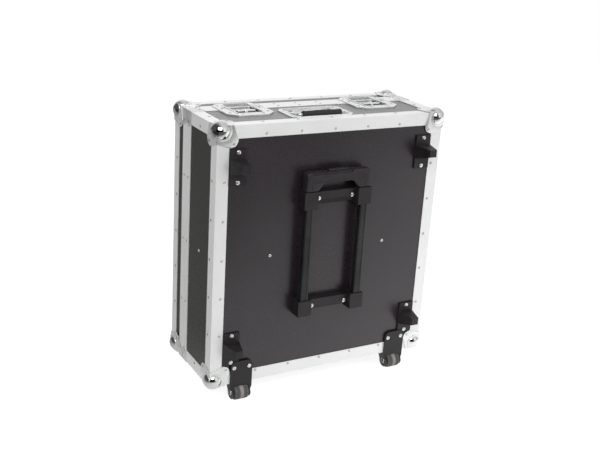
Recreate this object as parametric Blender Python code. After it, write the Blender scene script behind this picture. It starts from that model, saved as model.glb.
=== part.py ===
"""Flight case on trolley castors, standing upright with its pull-out handle towards -Y.

The base is the deep half: its big face carries the trolley handle and the wedge feet.
The lid closes it from +Y and is hinged along the bottom of the seam.
Origin: on the floor, under the centre of the case's box.
"""

import math

import bmesh
import bpy
from mathutils import Matrix, Vector

MM = 0.001

# General fits and sheet sizes
CLEARANCE = 0.3 * MM
PANEL_THICKNESS = 7.0 * MM
CORNER_SHEET = 1.5 * MM
DISH_SHEET = 1.2 * MM

# Case over its aluminium
CASE_WIDTH = 550.0 * MM
CASE_HEIGHT = 580.0 * MM
CASE_DEPTH = 224.0 * MM
LID_DEPTH = 68.0 * MM
CASE_LIFT = 42.0 * MM

# Edge angles
EDGE_WALL = 1.5 * MM
EDGE_LEG = 27.5 * MM
LID_EDGE_LEG = 25.0 * MM

# Closure profiles at the seam
CLOSURE_FLANGE = 21.0 * MM
CLOSURE_WALL = 1.5 * MM
CLOSURE_WEB = 5.0 * MM
TONGUE_SETBACK = 4.0 * MM
TONGUE_WIDTH = 2.4 * MM
TONGUE_HEIGHT = 2.4 * MM
TONGUE_PLAY = 0.8 * MM

# Ball corners
BALL_RADIUS = 21.0 * MM
BALL_INSET = 12.0 * MM
CORNER_SHOULDER = 36.0 * MM
CORNER_REACH = 47.0 * MM
CORNER_TIP = 30.0 * MM
CORNER_ROUND = 42.0 * MM

# Wedge feet on the big face
FOOT_INSET = 47.4 * MM
FOOT_LOW_HEIGHT = 85.4 * MM
FOOT_HIGH_DROP = 87.2 * MM
FOOT_PLATE_WIDTH = 38.0 * MM
FOOT_PLATE_HEIGHT = 76.0 * MM
FOOT_PLATE_THICKNESS = 4.0 * MM
FOOT_REACH = 43.0 * MM
FOOT_ROOT_LOW = 14.9 * MM
FOOT_ROOT_HIGH = 15.9 * MM
FOOT_TIP_LOW = 3.0 * MM
FOOT_TIP_HIGH = 13.5 * MM
FOOT_TIP_WIDTH = 18.0 * MM
FOOT_EDGE = 1.5 * MM

# Rear support feet under the base
REAR_FOOT_INSET = 90.0 * MM
REAR_FOOT_SETBACK = 24.0 * MM
REAR_FOOT_RADIUS = 14.0 * MM
REAR_FOOT_TOP_RADIUS = 17.0 * MM

# Castors
CASTOR_INSET = 73.8 * MM
CASTOR_WIDTH = 52.0 * MM
CASTOR_PLATE = 4.0 * MM
CASTOR_PLATE_HEIGHT = 53.5 * MM
CASTOR_PLATE_ROUND = 12.0 * MM
CASTOR_SHELF = 3.0 * MM
CASTOR_SHELF_LENGTH = 36.0 * MM
CASTOR_AXLE_BACK = 4.0 * MM
CASTOR_SKIRT_DROP = 9.0 * MM
CHEEK_RADIUS = 15.0 * MM
CHEEK_THICKNESS = 4.2 * MM
WHEEL_RADIUS = 18.0 * MM
WHEEL_WIDTH = 32.0 * MM
WHEEL_PLAY = 1.0 * MM
AXLE_RADIUS = 3.0 * MM
AXLE_HEAD_RADIUS = 6.0 * MM
AXLE_HEAD = 1.5 * MM

# Trolley handle
TROLLEY_WIDTH = 165.0 * MM
TROLLEY_PROUD = 29.0 * MM
TROLLEY_CROSSBAR_PROUD = 16.0 * MM
BRACKET_END = 33.0 * MM
LOWER_BRACKET_Z = 147.0 * MM
LOWER_BRACKET_HEIGHT = 36.0 * MM
UPPER_BRACKET_Z = 393.5 * MM
UPPER_BRACKET_HEIGHT = 38.5 * MM
CROSSBAR_SETBACK = 3.5 * MM
CROSSBAR_FACE = 17.0 * MM
CROSSBAR_LIP = 4.0 * MM
BRACKET_FLOOR = 5.0 * MM
BRACKET_EDGE = 1.2 * MM
TUBE_WIDTH = 20.0 * MM
TUBE_DEPTH = 18.0 * MM
TUBE_WALL = 1.2 * MM
TUBE_PROUD = 27.0 * MM
TUBE_INSET = 4.8 * MM
TUBE_CORNER = 3.0 * MM
STAGE_LIFT = 3.0 * MM
GRIP_WIDTH = 158.0 * MM
GRIP_TOP = 474.0 * MM
GRIP_PROUD = 27.0 * MM
GRIP_DEPTH = 20.0 * MM
GRIP_LEG = 28.0 * MM
GRIP_ARCH = 18.0 * MM
GRIP_ARCH_SLOPE = 17.0 * MM
GRIP_SOCKET = 28.0 * MM
GRIP_EDGE = 2.5 * MM
BUTTON_WIDTH = 50.0 * MM
BUTTON_DEPTH = 10.0 * MM
BUTTON_HEIGHT = 11.0 * MM
BUTTON_PROUD = 4.0 * MM
BUTTON_TRAVEL = 3.0 * MM

# Carrying handle in the top
HANDLE_SHIFT = -12.0 * MM
HANDLE_FRONT_MARGIN = 1.0 * MM
HANDLE_WIDTH = 153.0 * MM
HANDLE_BACK_MARGIN = 16.5 * MM
HANDLE_CHAMFER = 14.0 * MM
HANDLE_RIM = 11.0 * MM
HANDLE_NEAR_RIM = 7.0 * MM
HANDLE_FAR_RIM = 5.5 * MM
HANDLE_PAN = 14.0 * MM
BAIL_RADIUS = 3.2 * MM
BAIL_SPAN = 112.0 * MM
BAIL_PIVOT_INSET = 16.5 * MM
BAIL_PIVOT_DROP = 6.0 * MM
BAIL_GRIP_INSET = 18.5 * MM
BAIL_GRIP_RISE = 2.0 * MM
HANDLE_GRIP_RADIUS = 8.0 * MM
HANDLE_GRIP_LENGTH = 96.0 * MM

# Butterfly latches
LATCH_INSET = 117.0 * MM
LATCH_WIDTH = 118.0 * MM
LATCH_BASE_REACH = 82.0 * MM
LATCH_LID_REACH = 32.0 * MM
LATCH_CHAMFER = 15.0 * MM
LATCH_PAN_WIDTH = 58.0 * MM
LATCH_PAN_BASE = 62.0 * MM
LATCH_PAN_LID = 22.0 * MM
LATCH_HOLE_MARGIN = 4.0 * MM
KEY_BACK = 38.0 * MM
KEY_LENGTH = 44.0 * MM
KEY_WIDTH = 21.0 * MM
KEY_THICKNESS = 3.0 * MM
KEY_HUB_RADIUS = 7.0 * MM
KEY_RISE = 1.5 * MM
HOOK_WIDTH = 34.0 * MM
HOOK_THICKNESS = 2.5 * MM
HOOK_TAIL = 57.0 * MM
HOOK_NOSE = 13.0 * MM
HOOK_TRAVEL = 6.0 * MM

# Hinge under the seam
HINGE_LENGTH = 280.0 * MM
HINGE_LEAF = 24.0 * MM
HINGE_SHEET = 1.5 * MM
HINGE_RELIEF = 4.4 * MM
KNUCKLE_RADIUS = 4.4 * MM
HINGE_PIN_RADIUS = 2.0 * MM
HINGE_PIN_HEAD = 1.5 * MM
KNUCKLE_COUNT = 7

# Divider board inside the base
DIVIDER_THICKNESS = 7.0 * MM
DIVIDER_SETBACK = 22.5 * MM

# Places that follow from the sizes above
BASE_DEPTH = CASE_DEPTH - LID_DEPTH
HANDLE_FRONT = EDGE_LEG + HANDLE_FRONT_MARGIN
HANDLE_DEPTH = BASE_DEPTH - CLOSURE_FLANGE - HANDLE_BACK_MARGIN - HANDLE_FRONT
BAIL_PIVOT_BACK = HANDLE_FRONT + HANDLE_DEPTH - BAIL_PIVOT_INSET
BAIL_GRIP_BACK = HANDLE_FRONT + BAIL_GRIP_INSET
SHELL = EDGE_WALL + CLEARANCE
LINING = SHELL + PANEL_THICKNESS + CLEARANCE
BALL_PROUD = BALL_RADIUS - BALL_INSET
LEFT = -CASE_WIDTH / 2
RIGHT = CASE_WIDTH / 2
BOTTOM = CASE_LIFT
TOP = BOTTOM + CASE_HEIGHT
FRONT = (FOOT_REACH - CASE_DEPTH - BALL_PROUD) / 2
BACK = FRONT + CASE_DEPTH
SEAM = FRONT + BASE_DEPTH
CLOSURE_DEPTH = LINING + CLOSURE_WALL
HINGE_AXIS_Z = BOTTOM - CLEARANCE - KNUCKLE_RADIUS
AXLE_Y = FRONT + CASTOR_AXLE_BACK
AXLE_Z = WHEEL_RADIUS
SIDES = {"left": -1, "right": 1}

ALL = slice(None)


def clear_scene():
    for obj in list(bpy.data.objects):
        bpy.data.objects.remove(obj, do_unlink=True)


def plain_material(name, colour, roughness, metallic):
    material = bpy.data.materials.new(name)
    material.use_nodes = True
    shader = material.node_tree.nodes["Principled BSDF"]
    shader.inputs["Base Color"].default_value = (*colour, 1.0)
    shader.inputs["Roughness"].default_value = roughness
    shader.inputs["Metallic"].default_value = metallic
    return material


def make_materials():
    """Linear colours, roughness and metallic value of every finish."""
    return {
        "black_laminate": plain_material("black_laminate", (0.045, 0.044, 0.045), 0.45, 0.0),
        "plywood": plain_material("plywood", (0.42, 0.28, 0.16), 0.7, 0.0),
        "aluminium": plain_material("aluminium", (0.78, 0.78, 0.77), 0.35, 1.0),
        "corner_steel": plain_material("corner_steel", (0.72, 0.72, 0.73), 0.22, 1.0),
        "chrome": plain_material("chrome", (0.82, 0.82, 0.83), 0.15, 1.0),
        "zinc": plain_material("zinc", (0.62, 0.62, 0.62), 0.35, 1.0),
        "black_plastic": plain_material("black_plastic", (0.03, 0.03, 0.03), 0.5, 0.0),
        "black_tube": plain_material("black_tube", (0.05, 0.05, 0.052), 0.35, 0.6),
        "grip_rubber": plain_material("grip_rubber", (0.018, 0.018, 0.018), 0.6, 0.0),
        "wheel_rubber": plain_material("wheel_rubber", (0.1, 0.095, 0.09), 0.55, 0.0),
    }


def object_from(bm, name):
    bmesh.ops.recalc_face_normals(bm, faces=bm.faces)
    mesh = bpy.data.meshes.new(name)
    bm.to_mesh(mesh)
    bm.free()
    obj = bpy.data.objects.new(name, mesh)
    bpy.context.scene.collection.objects.link(obj)
    return obj


def prism(outline, axis, start, end, name="shape"):
    """Extrude an outline along an axis; its points are in the other two axes, in X, Y, Z order."""
    order = {"X": (1, 2, 0), "Y": (0, 2, 1), "Z": (0, 1, 2)}[axis]
    bm = bmesh.new()
    verts = []
    for a, b in outline:
        place = Vector()
        place[order[0]] = a
        place[order[1]] = b
        place[order[2]] = start
        verts.append(bm.verts.new(place))
    face = bm.faces.new(verts)
    top = bmesh.ops.extrude_face_region(bm, geom=[face])
    shift = Vector()
    shift[order[2]] = end - start
    moved = [item for item in top["geom"] if isinstance(item, bmesh.types.BMVert)]
    bmesh.ops.translate(bm, verts=moved, vec=shift)
    return object_from(bm, name)


def block(low, high, name="shape"):
    outline = [(low[0], low[1]), (high[0], low[1]), (high[0], high[1]), (low[0], high[1])]
    return prism(outline, "Z", low[2], high[2], name)


def circle(centre, radius, sides):
    turns = [2 * math.pi * (step + 0.5) / sides for step in range(sides)]
    return [(centre[0] + radius * math.cos(t), centre[1] + radius * math.sin(t)) for t in turns]


def rod(centre, axis, radius, start, end, sides=20, name="shape"):
    return prism(circle(centre, radius, sides), axis, start, end, name)


def rounded_rectangle(low, high, radius, steps=3):
    """Outline with a quarter arc of a few points at each corner."""
    points = []
    corners = [(high[0], high[1], 0), (low[0], high[1], 90), (low[0], low[1], 180), (high[0], low[1], 270)]
    for x, y, first in corners:
        cx = x - radius if x == high[0] else x + radius
        cy = y - radius if y == high[1] else y + radius
        for step in range(steps + 1):
            angle = math.radians(first + 90 * step / steps)
            points.append((cx + radius * math.cos(angle), cy + radius * math.sin(angle)))
    return points


def ball(centre, radius, segments=20, rings=12, name="shape"):
    bm = bmesh.new()
    place = Matrix.Translation(centre)
    bmesh.ops.create_uvsphere(bm, u_segments=segments, v_segments=rings, radius=radius, matrix=place)
    return object_from(bm, name)


def swept_frame(profile, seam_side, direction, name):
    """Run a profile round the case's four sides with mitred corners.

    A profile point is (inwards from the case's outer face, along Y from seam_side in direction).
    """
    bm = bmesh.new()
    corners = [(LEFT, BOTTOM, 1, 1), (RIGHT, BOTTOM, -1, 1), (RIGHT, TOP, -1, -1), (LEFT, TOP, 1, -1)]
    rings = []
    for x, z, inward_x, inward_z in corners:
        ring = [
            bm.verts.new((x + inward_x * u, seam_side + direction * v, z + inward_z * u))
            for u, v in profile
        ]
        rings.append(ring)
    count = len(profile)
    for index, ring in enumerate(rings):
        following = rings[(index + 1) % len(rings)]
        for point in range(count):
            after = (point + 1) % count
            bm.faces.new((ring[point], ring[after], following[after], following[point]))
    return object_from(bm, name)


def combine(body, tool, operation):
    modifier = body.modifiers.new(operation, "BOOLEAN")
    modifier.operation = operation
    modifier.solver = "EXACT"
    modifier.object = tool
    depsgraph = bpy.context.evaluated_depsgraph_get()
    mesh = bpy.data.meshes.new_from_object(body.evaluated_get(depsgraph))
    body.modifiers.clear()
    body.data = mesh
    bpy.data.objects.remove(tool, do_unlink=True)
    return body


def cut(body, *tools):
    for tool in tools:
        combine(body, tool, "DIFFERENCE")
    return body


def fuse(body, *tools):
    for tool in tools:
        combine(body, tool, "UNION")
    return body


def soften(obj, width, segments=1, angle=40):
    bevel = obj.modifiers.new("edges", "BEVEL")
    bevel.width = width
    bevel.segments = segments
    bevel.limit_method = "ANGLE"
    bevel.angle_limit = math.radians(angle)
    return obj


def pivot(name, place):
    empty = bpy.data.objects.new(name, None)
    empty.location = place
    empty.empty_display_size = 20 * MM
    bpy.context.scene.collection.objects.link(empty)
    return empty


def name_part(obj, name, material, parent=None, smooth=False):
    """Give a finished solid its name and finish, and hang it on its joint's empty."""
    obj.name = name
    obj.data.name = name
    obj.data.materials.clear()
    obj.data.materials.append(material)
    if smooth:
        obj.data.shade_smooth()
        obj.data.set_sharp_from_angle(angle=math.radians(35))
    if parent is not None:
        obj.data.transform(Matrix.Translation(-parent.location))
        obj.parent = parent
    return obj


def flipped(obj, x=1, y=1, z=1):
    """Reflect a shape's mesh in the planes through the world's origin."""
    obj.data.transform(Matrix.Diagonal((x, y, z, 1)))
    if x * y * z < 0:
        obj.data.flip_normals()
    return obj


def make_base_panels(finish):
    inner = FRONT + SHELL + PANEL_THICKNESS
    panel = block(
        (LEFT + SHELL, FRONT + SHELL, BOTTOM + SHELL),
        (RIGHT - SHELL, inner, TOP - SHELL),
    )
    name_part(panel, "base_panel", finish["black_laminate"])
    near = inner + CLEARANCE
    far = SEAM - CLOSURE_WEB - CLEARANCE
    for side, sign in SIDES.items():
        outer = sign * (CASE_WIDTH / 2 - SHELL)
        xs = sorted((outer, outer - sign * PANEL_THICKNESS))
        wall = block((xs[0], near, BOTTOM + SHELL), (xs[1], far, TOP - SHELL))
        name_part(wall, "base_wall_" + side, finish["black_laminate"])
    for end, outer, sign in (("bottom", BOTTOM + SHELL, 1), ("top", TOP - SHELL, -1)):
        zs = sorted((outer, outer + sign * PANEL_THICKNESS))
        wall = block((LEFT + LINING, near, zs[0]), (RIGHT - LINING, far, zs[1]))
        if end == "top":
            notches = [latch_cutter(sign, LATCH_HOLE_MARGIN) for sign in SIDES.values()]
            cut(wall, handle_cutter(), *notches)
        name_part(wall, "base_wall_" + end, finish["black_laminate"])


def make_lid_panels(finish):
    inner = BACK - SHELL - PANEL_THICKNESS
    panel = block(
        (LEFT + SHELL, inner, BOTTOM + SHELL),
        (RIGHT - SHELL, BACK - SHELL, TOP - SHELL),
    )
    name_part(panel, "lid_panel", finish["black_laminate"])
    profile = [
        (SHELL, SEAM + CLOSURE_WEB + CLEARANCE),
        (SHELL + PANEL_THICKNESS, SEAM + CLOSURE_WEB + CLEARANCE),
        (SHELL + PANEL_THICKNESS, inner - CLEARANCE),
        (SHELL, inner - CLEARANCE),
    ]
    walls = swept_frame(profile, 0.0, 1, "walls")
    cut(walls, *[latch_cutter(sign, LATCH_HOLE_MARGIN) for sign in SIDES.values()])
    name_part(walls, "lid_walls", finish["black_laminate"], LID_AXIS)


def edge_profile(leg):
    return [(0, 0), (leg, 0), (leg, EDGE_WALL), (EDGE_WALL, EDGE_WALL), (EDGE_WALL, leg), (0, leg)]


def depth_angle(side, end, near, far, leg):
    """An angle along Y at one of the case's four long corners."""
    x = side * CASE_WIDTH / 2
    z = TOP if end > 0 else BOTTOM
    outline = [
        (x - side * u, z - end * v)
        for u, v in edge_profile(leg)
    ]
    return prism(outline, "Y", near, far)


def make_edge_angles(finish):
    frame = swept_frame(edge_profile(EDGE_LEG), FRONT, 1, "frame")
    name_part(frame, "base_edge_frame", finish["aluminium"])
    near = FRONT + EDGE_LEG + CLEARANCE
    far = SEAM - CLOSURE_FLANGE - CLEARANCE
    for end_name, end in (("bottom", -1), ("top", 1)):
        for side_name, side in SIDES.items():
            angle = depth_angle(side, end, near, far, EDGE_LEG)
            name_part(angle, f"base_depth_angle_{end_name}_{side_name}", finish["aluminium"])
    lid_frame = swept_frame(edge_profile(LID_EDGE_LEG), BACK, -1, "frame")
    lid_near = SEAM + CLOSURE_FLANGE + CLEARANCE
    lid_far = BACK - LID_EDGE_LEG / 2
    for end in (-1, 1):
        for side in SIDES.values():
            fuse(lid_frame, depth_angle(side, end, lid_near, lid_far, LID_EDGE_LEG))
    name_part(lid_frame, "lid_edge_frame", finish["aluminium"], LID_AXIS)


def closure_profile(mouth):
    """Channel over the wall's edge; mouth lists the points of its groove or tongue."""
    return [
        (0, 0),
        (0, CLOSURE_FLANGE),
        (CLOSURE_WALL, CLOSURE_FLANGE),
        (CLOSURE_WALL, CLOSURE_WEB),
        (LINING, CLOSURE_WEB),
        (LINING, CLOSURE_FLANGE),
        (CLOSURE_DEPTH, CLOSURE_FLANGE),
        (CLOSURE_DEPTH, 0),
        *mouth,
    ]


def make_closures(finish):
    tongue_end = TONGUE_SETBACK + TONGUE_WIDTH
    depth = TONGUE_HEIGHT + CLEARANCE + TONGUE_PLAY
    groove = [
        (tongue_end + TONGUE_PLAY, 0),
        (tongue_end + TONGUE_PLAY, depth),
        (TONGUE_SETBACK - TONGUE_PLAY, depth),
        (TONGUE_SETBACK - TONGUE_PLAY, 0),
    ]
    base = swept_frame(closure_profile(groove), SEAM - CLEARANCE / 2, -1, "closure")
    tongue = [
        (tongue_end, 0),
        (tongue_end, -TONGUE_HEIGHT),
        (TONGUE_SETBACK, -TONGUE_HEIGHT),
        (TONGUE_SETBACK, 0),
    ]
    lid = swept_frame(closure_profile(tongue), SEAM + CLEARANCE / 2, 1, "closure")
    for frame in (base, lid):
        cut(frame, *[latch_cutter(sign) for sign in SIDES.values()])
    name_part(base, "base_closure_frame", finish["aluminium"])
    name_part(lid, "lid_closure_frame", finish["aluminium"], LID_AXIS)


def corner_shape():
    """A ball corner round the origin, with the case inside +X, +Y, +Z."""
    skin = CORNER_SHEET + CLEARANCE
    plate = [
        (-skin, -skin),
        (CORNER_SHOULDER, -skin),
        (CORNER_REACH, CORNER_TIP),
        (CORNER_ROUND, CORNER_ROUND),
        (CORNER_TIP, CORNER_REACH),
        (-skin, CORNER_SHOULDER),
    ]
    shape = ball((BALL_INSET,) * 3, BALL_RADIUS)
    fuse(shape, *[prism(plate, axis, -skin, 0.0) for axis in "XYZ"])
    inside = block((-CLEARANCE,) * 3, (2 * CORNER_REACH,) * 3)
    hollow = ball((BALL_INSET,) * 3, BALL_RADIUS - CORNER_SHEET, 16, 8)
    return cut(shape, inside, hollow)


def make_ball_corners(finish):
    master = corner_shape()
    for half, y, inward in (("base", FRONT, 1), ("lid", BACK, -1)):
        for end_name, z, end in (("bottom", BOTTOM, -1), ("top", TOP, 1)):
            for side_name, side in SIDES.items():
                corner = master.copy()
                corner.data = master.data.copy()
                bpy.context.scene.collection.objects.link(corner)
                flipped(corner, x=-side, y=inward, z=-end)
                place = Matrix.Translation((side * CASE_WIDTH / 2, y, z))
                corner.data.transform(place)
                parent = LID_AXIS if half == "lid" else None
                name = f"{half}_ball_corner_{end_name}_{side_name}"
                name_part(corner, name, finish["corner_steel"], parent, smooth=True)
    bpy.data.objects.remove(master, do_unlink=True)


def make_wedge_feet(finish):
    seat = FRONT + SHELL - CLEARANCE
    face = seat - FOOT_PLATE_THICKNESS
    tip = FRONT - FOOT_REACH
    for level, middle in (("low", BOTTOM + FOOT_LOW_HEIGHT), ("high", TOP - FOOT_HIGH_DROP)):
        for side_name, side in SIDES.items():
            x = side * (CASE_WIDTH / 2 - FOOT_INSET)
            half = FOOT_PLATE_WIDTH / 2
            foot = block(
                (x - half, face, middle - FOOT_PLATE_HEIGHT / 2),
                (x + half, seat, middle + FOOT_PLATE_HEIGHT / 2),
            )
            root = (half, middle - FOOT_ROOT_LOW, middle + FOOT_ROOT_HIGH, face + FOOT_PLATE_THICKNESS / 2)
            nose = (FOOT_TIP_WIDTH / 2, middle - FOOT_TIP_LOW, middle + FOOT_TIP_HIGH, tip)
            fuse(foot, wedge(x, root, nose))
            if level == "low":
                cut(foot, castor_plate(side, CLEARANCE))
            soften(foot, FOOT_EDGE)
            name_part(foot, f"wedge_foot_{level}_{side_name}", finish["black_plastic"])


def wedge(x, root, nose):
    """A block that narrows from its root rectangle to its nose rectangle, both square to Y."""
    bm = bmesh.new()
    rings = []
    for half, low, high, y in (root, nose):
        corners = ((x - half, low), (x + half, low), (x + half, high), (x - half, high))
        rings.append([bm.verts.new((a, y, b)) for a, b in corners])
    bm.faces.new(rings[0])
    bm.faces.new(rings[1])
    for index in range(4):
        after = (index + 1) % 4
        bm.faces.new((rings[0][index], rings[0][after], rings[1][after], rings[1][index]))
    return object_from(bm, "shape")


def make_rear_feet(finish):
    top = BOTTOM - CLEARANCE
    for side_name, side in SIDES.items():
        bm = bmesh.new()
        place = Matrix.Translation(
            (side * (CASE_WIDTH / 2 - REAR_FOOT_INSET), SEAM - REAR_FOOT_SETBACK, top / 2)
        )
        bmesh.ops.create_cone(
            bm,
            cap_ends=True,
            segments=24,
            radius1=REAR_FOOT_RADIUS,
            radius2=REAR_FOOT_TOP_RADIUS,
            depth=top,
            matrix=place,
        )
        foot = object_from(bm, "foot")
        name_part(foot, "rear_foot_" + side_name, finish["black_plastic"], smooth=True)


def castor_outline():
    """Side outline of the castor's housing in Y and Z, from its front face round the axle."""
    front = FRONT - CASTOR_PLATE
    axle = (AXLE_Y, AXLE_Z)
    low = BOTTOM - CASTOR_SKIRT_DROP
    points = [(front, BOTTOM - CLEARANCE), (front, low)]
    for degrees in range(180, 361, 20):
        angle = math.radians(degrees)
        points.append((axle[0] + CHEEK_RADIUS * math.cos(angle), axle[1] + CHEEK_RADIUS * math.sin(angle)))
    points.append((front + CASTOR_SHELF_LENGTH, BOTTOM - CASTOR_SHELF))
    points.append((front + CASTOR_SHELF_LENGTH, BOTTOM - CLEARANCE))
    return points


def castor_plate(side, growth=0.0):
    """The screwed plate of a castor on the big face, rounded at its upper corners."""
    x = side * (CASE_WIDTH / 2 - CASTOR_INSET)
    half = CASTOR_WIDTH / 2 + growth
    reach = CASTOR_PLATE_HEIGHT + growth
    outline = rounded_rectangle(
        (x - half, BOTTOM - reach), (x + half, BOTTOM + reach), CASTOR_PLATE_ROUND + growth
    )
    return prism(outline, "Y", FRONT - CASTOR_PLATE - 2 * growth, FRONT - CLEARANCE + 8 * growth)


def make_castors(finish):
    half = CASTOR_WIDTH / 2
    wheel_half = WHEEL_WIDTH / 2
    well_half = wheel_half + WHEEL_PLAY
    cheek_half = well_half + CHEEK_THICKNESS
    for side_name, side in SIDES.items():
        x = side * (CASE_WIDTH / 2 - CASTOR_INSET)
        housing = prism(castor_outline(), "X", x - half, x + half)
        for flank in (-1, 1):
            taper = [
                (x + flank * cheek_half, -MM),
                (x + flank * cheek_half, AXLE_Z + AXLE_HEAD_RADIUS + MM),
                (x + flank * (half + MM), BOTTOM - CASTOR_SKIRT_DROP),
                (x + flank * (half + MM), -MM),
            ]
            cut(housing, prism(taper, "Y", FRONT - FOOT_REACH, BACK))
        plate = castor_plate(side)
        below = block(
            (x - half - MM, FRONT - FOOT_REACH, BOTTOM - CASTOR_PLATE_HEIGHT - MM),
            (x + half + MM, FRONT + FOOT_REACH, BOTTOM - CASTOR_SHELF),
        )
        cut(plate, below)
        fuse(housing, plate)
        well = rod((AXLE_Y, AXLE_Z), "X", WHEEL_RADIUS + WHEEL_PLAY, x - well_half, x + well_half, 32)
        rear = block(
            (x - well_half, AXLE_Y, -MM),
            (x + well_half, BACK, BOTTOM - CASTOR_SHELF),
        )
        mouth = block(
            (x - well_half, FRONT - FOOT_REACH, -MM),
            (x + well_half, AXLE_Y + MM, AXLE_Z),
        )
        bore = rod((AXLE_Y, AXLE_Z), "X", AXLE_RADIUS + CLEARANCE, x - half, x + half)
        cut(housing, well, rear, mouth, bore)
        name_part(housing, "castor_housing_" + side_name, finish["black_plastic"])

        axle = rod((AXLE_Y, AXLE_Z), "X", AXLE_RADIUS, x - cheek_half - MM, x + cheek_half + MM)
        for flank in (-1, 1):
            start = x + flank * (cheek_half + CLEARANCE)
            ends = sorted((start, start + flank * AXLE_HEAD))
            fuse(axle, rod((AXLE_Y, AXLE_Z), "X", AXLE_HEAD_RADIUS, ends[0], ends[1]))
        name_part(axle, "castor_axle_" + side_name, finish["zinc"], smooth=True)

        hub = pivot("castor_roll_" + side_name, (x, AXLE_Y, AXLE_Z))
        wheel = rod((AXLE_Y, AXLE_Z), "X", WHEEL_RADIUS, x - wheel_half, x + wheel_half, 32)
        cut(wheel, rod((AXLE_Y, AXLE_Z), "X", AXLE_RADIUS + CLEARANCE, x - half, x + half))
        name_part(wheel, "castor_wheel_" + side_name, finish["wheel_rubber"], hub, smooth=True)


def tube_size(stage):
    """Width and depth of the outer (0), middle (1) or inner (2) tube."""
    step = 2 * stage * (TUBE_WALL + CLEARANCE)
    return TUBE_WIDTH - step, TUBE_DEPTH - step


def tube_outline(centre, stage, growth=0.0):
    width, depth = tube_size(stage)
    low = (centre[0] - width / 2 - growth, centre[1] - depth / 2 - growth)
    high = (centre[0] + width / 2 + growth, centre[1] + depth / 2 + growth)
    radius = TUBE_CORNER - stage * (TUBE_WALL + CLEARANCE) * 0.5 + growth
    return rounded_rectangle(low, high, max(radius, 0.5 * MM), 2)


def tube(centre, stage, start, end):
    body = prism(tube_outline(centre, stage), "Z", start, end)
    return cut(body, prism(tube_outline(centre, stage, -TUBE_WALL), "Z", start - MM, end + MM))


def tube_centres():
    x = TROLLEY_WIDTH / 2 - TUBE_INSET - TUBE_WIDTH / 2
    y = FRONT - TUBE_PROUD + TUBE_DEPTH / 2
    return {"left": (-x, y), "right": (x, y)}


def bracket(low, height):
    """Two end blocks joined by a shallower crossbar whose lower half slopes back to the panel."""
    seat = FRONT + SHELL - CLEARANCE
    half = TROLLEY_WIDTH / 2
    back = seat - CLEARANCE
    face = FRONT - TROLLEY_CROSSBAR_PROUD
    bottom = low + CROSSBAR_SETBACK
    top = low + height - CROSSBAR_SETBACK
    section = [
        (back, bottom),
        (back, top),
        (face, top),
        (face, top - CROSSBAR_FACE),
        (back - CROSSBAR_LIP, bottom),
    ]
    body = prism(section, "X", -half + BRACKET_END / 2, half - BRACKET_END / 2)
    for side in SIDES.values():
        xs = sorted((side * half, side * (half - BRACKET_END)))
        fuse(body, block((xs[0], FRONT - TROLLEY_PROUD, low), (xs[1], seat, low + height)))
    return soften(body, BRACKET_EDGE)


def make_trolley(finish):
    lower = BOTTOM + LOWER_BRACKET_Z
    upper = BOTTOM + UPPER_BRACKET_Z
    upper_top = upper + UPPER_BRACKET_HEIGHT
    tube_low = lower + BRACKET_FLOOR + CLEARANCE
    tube_high = upper_top - BRACKET_FLOOR - CLEARANCE
    foot = bracket(lower, LOWER_BRACKET_HEIGHT)
    collar = bracket(upper, UPPER_BRACKET_HEIGHT)
    apply_modifiers(foot)
    apply_modifiers(collar)
    for centre in tube_centres().values():
        socket = tube_outline(centre, 0, CLEARANCE)
        cut(foot, prism(socket, "Z", tube_low - CLEARANCE, upper))
        cut(collar, prism(socket, "Z", lower, tube_high + CLEARANCE))
        cut(collar, prism(tube_outline(centre, 1, CLEARANCE), "Z", upper, upper_top + MM))
    name_part(foot, "trolley_lower_bracket", finish["black_plastic"])
    name_part(collar, "trolley_upper_bracket", finish["black_plastic"])

    for side_name, centre in tube_centres().items():
        outer = tube(centre, 0, tube_low, tube_high)
        name_part(outer, "trolley_outer_tube_" + side_name, finish["black_tube"], smooth=True)
        middle = tube(centre, 1, tube_low + STAGE_LIFT, upper_top - CLEARANCE)
        name_part(middle, "trolley_middle_tube_" + side_name, finish["black_tube"], MIDDLE_STAGE, smooth=True)
        inner_top = upper_top + GRIP_SOCKET
        inner = tube(centre, 2, tube_low + 2 * STAGE_LIFT, inner_top)
        name_part(inner, "trolley_inner_tube_" + side_name, finish["black_tube"], GRIP_STAGE, smooth=True)
    make_trolley_grip(finish, upper_top)


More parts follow.
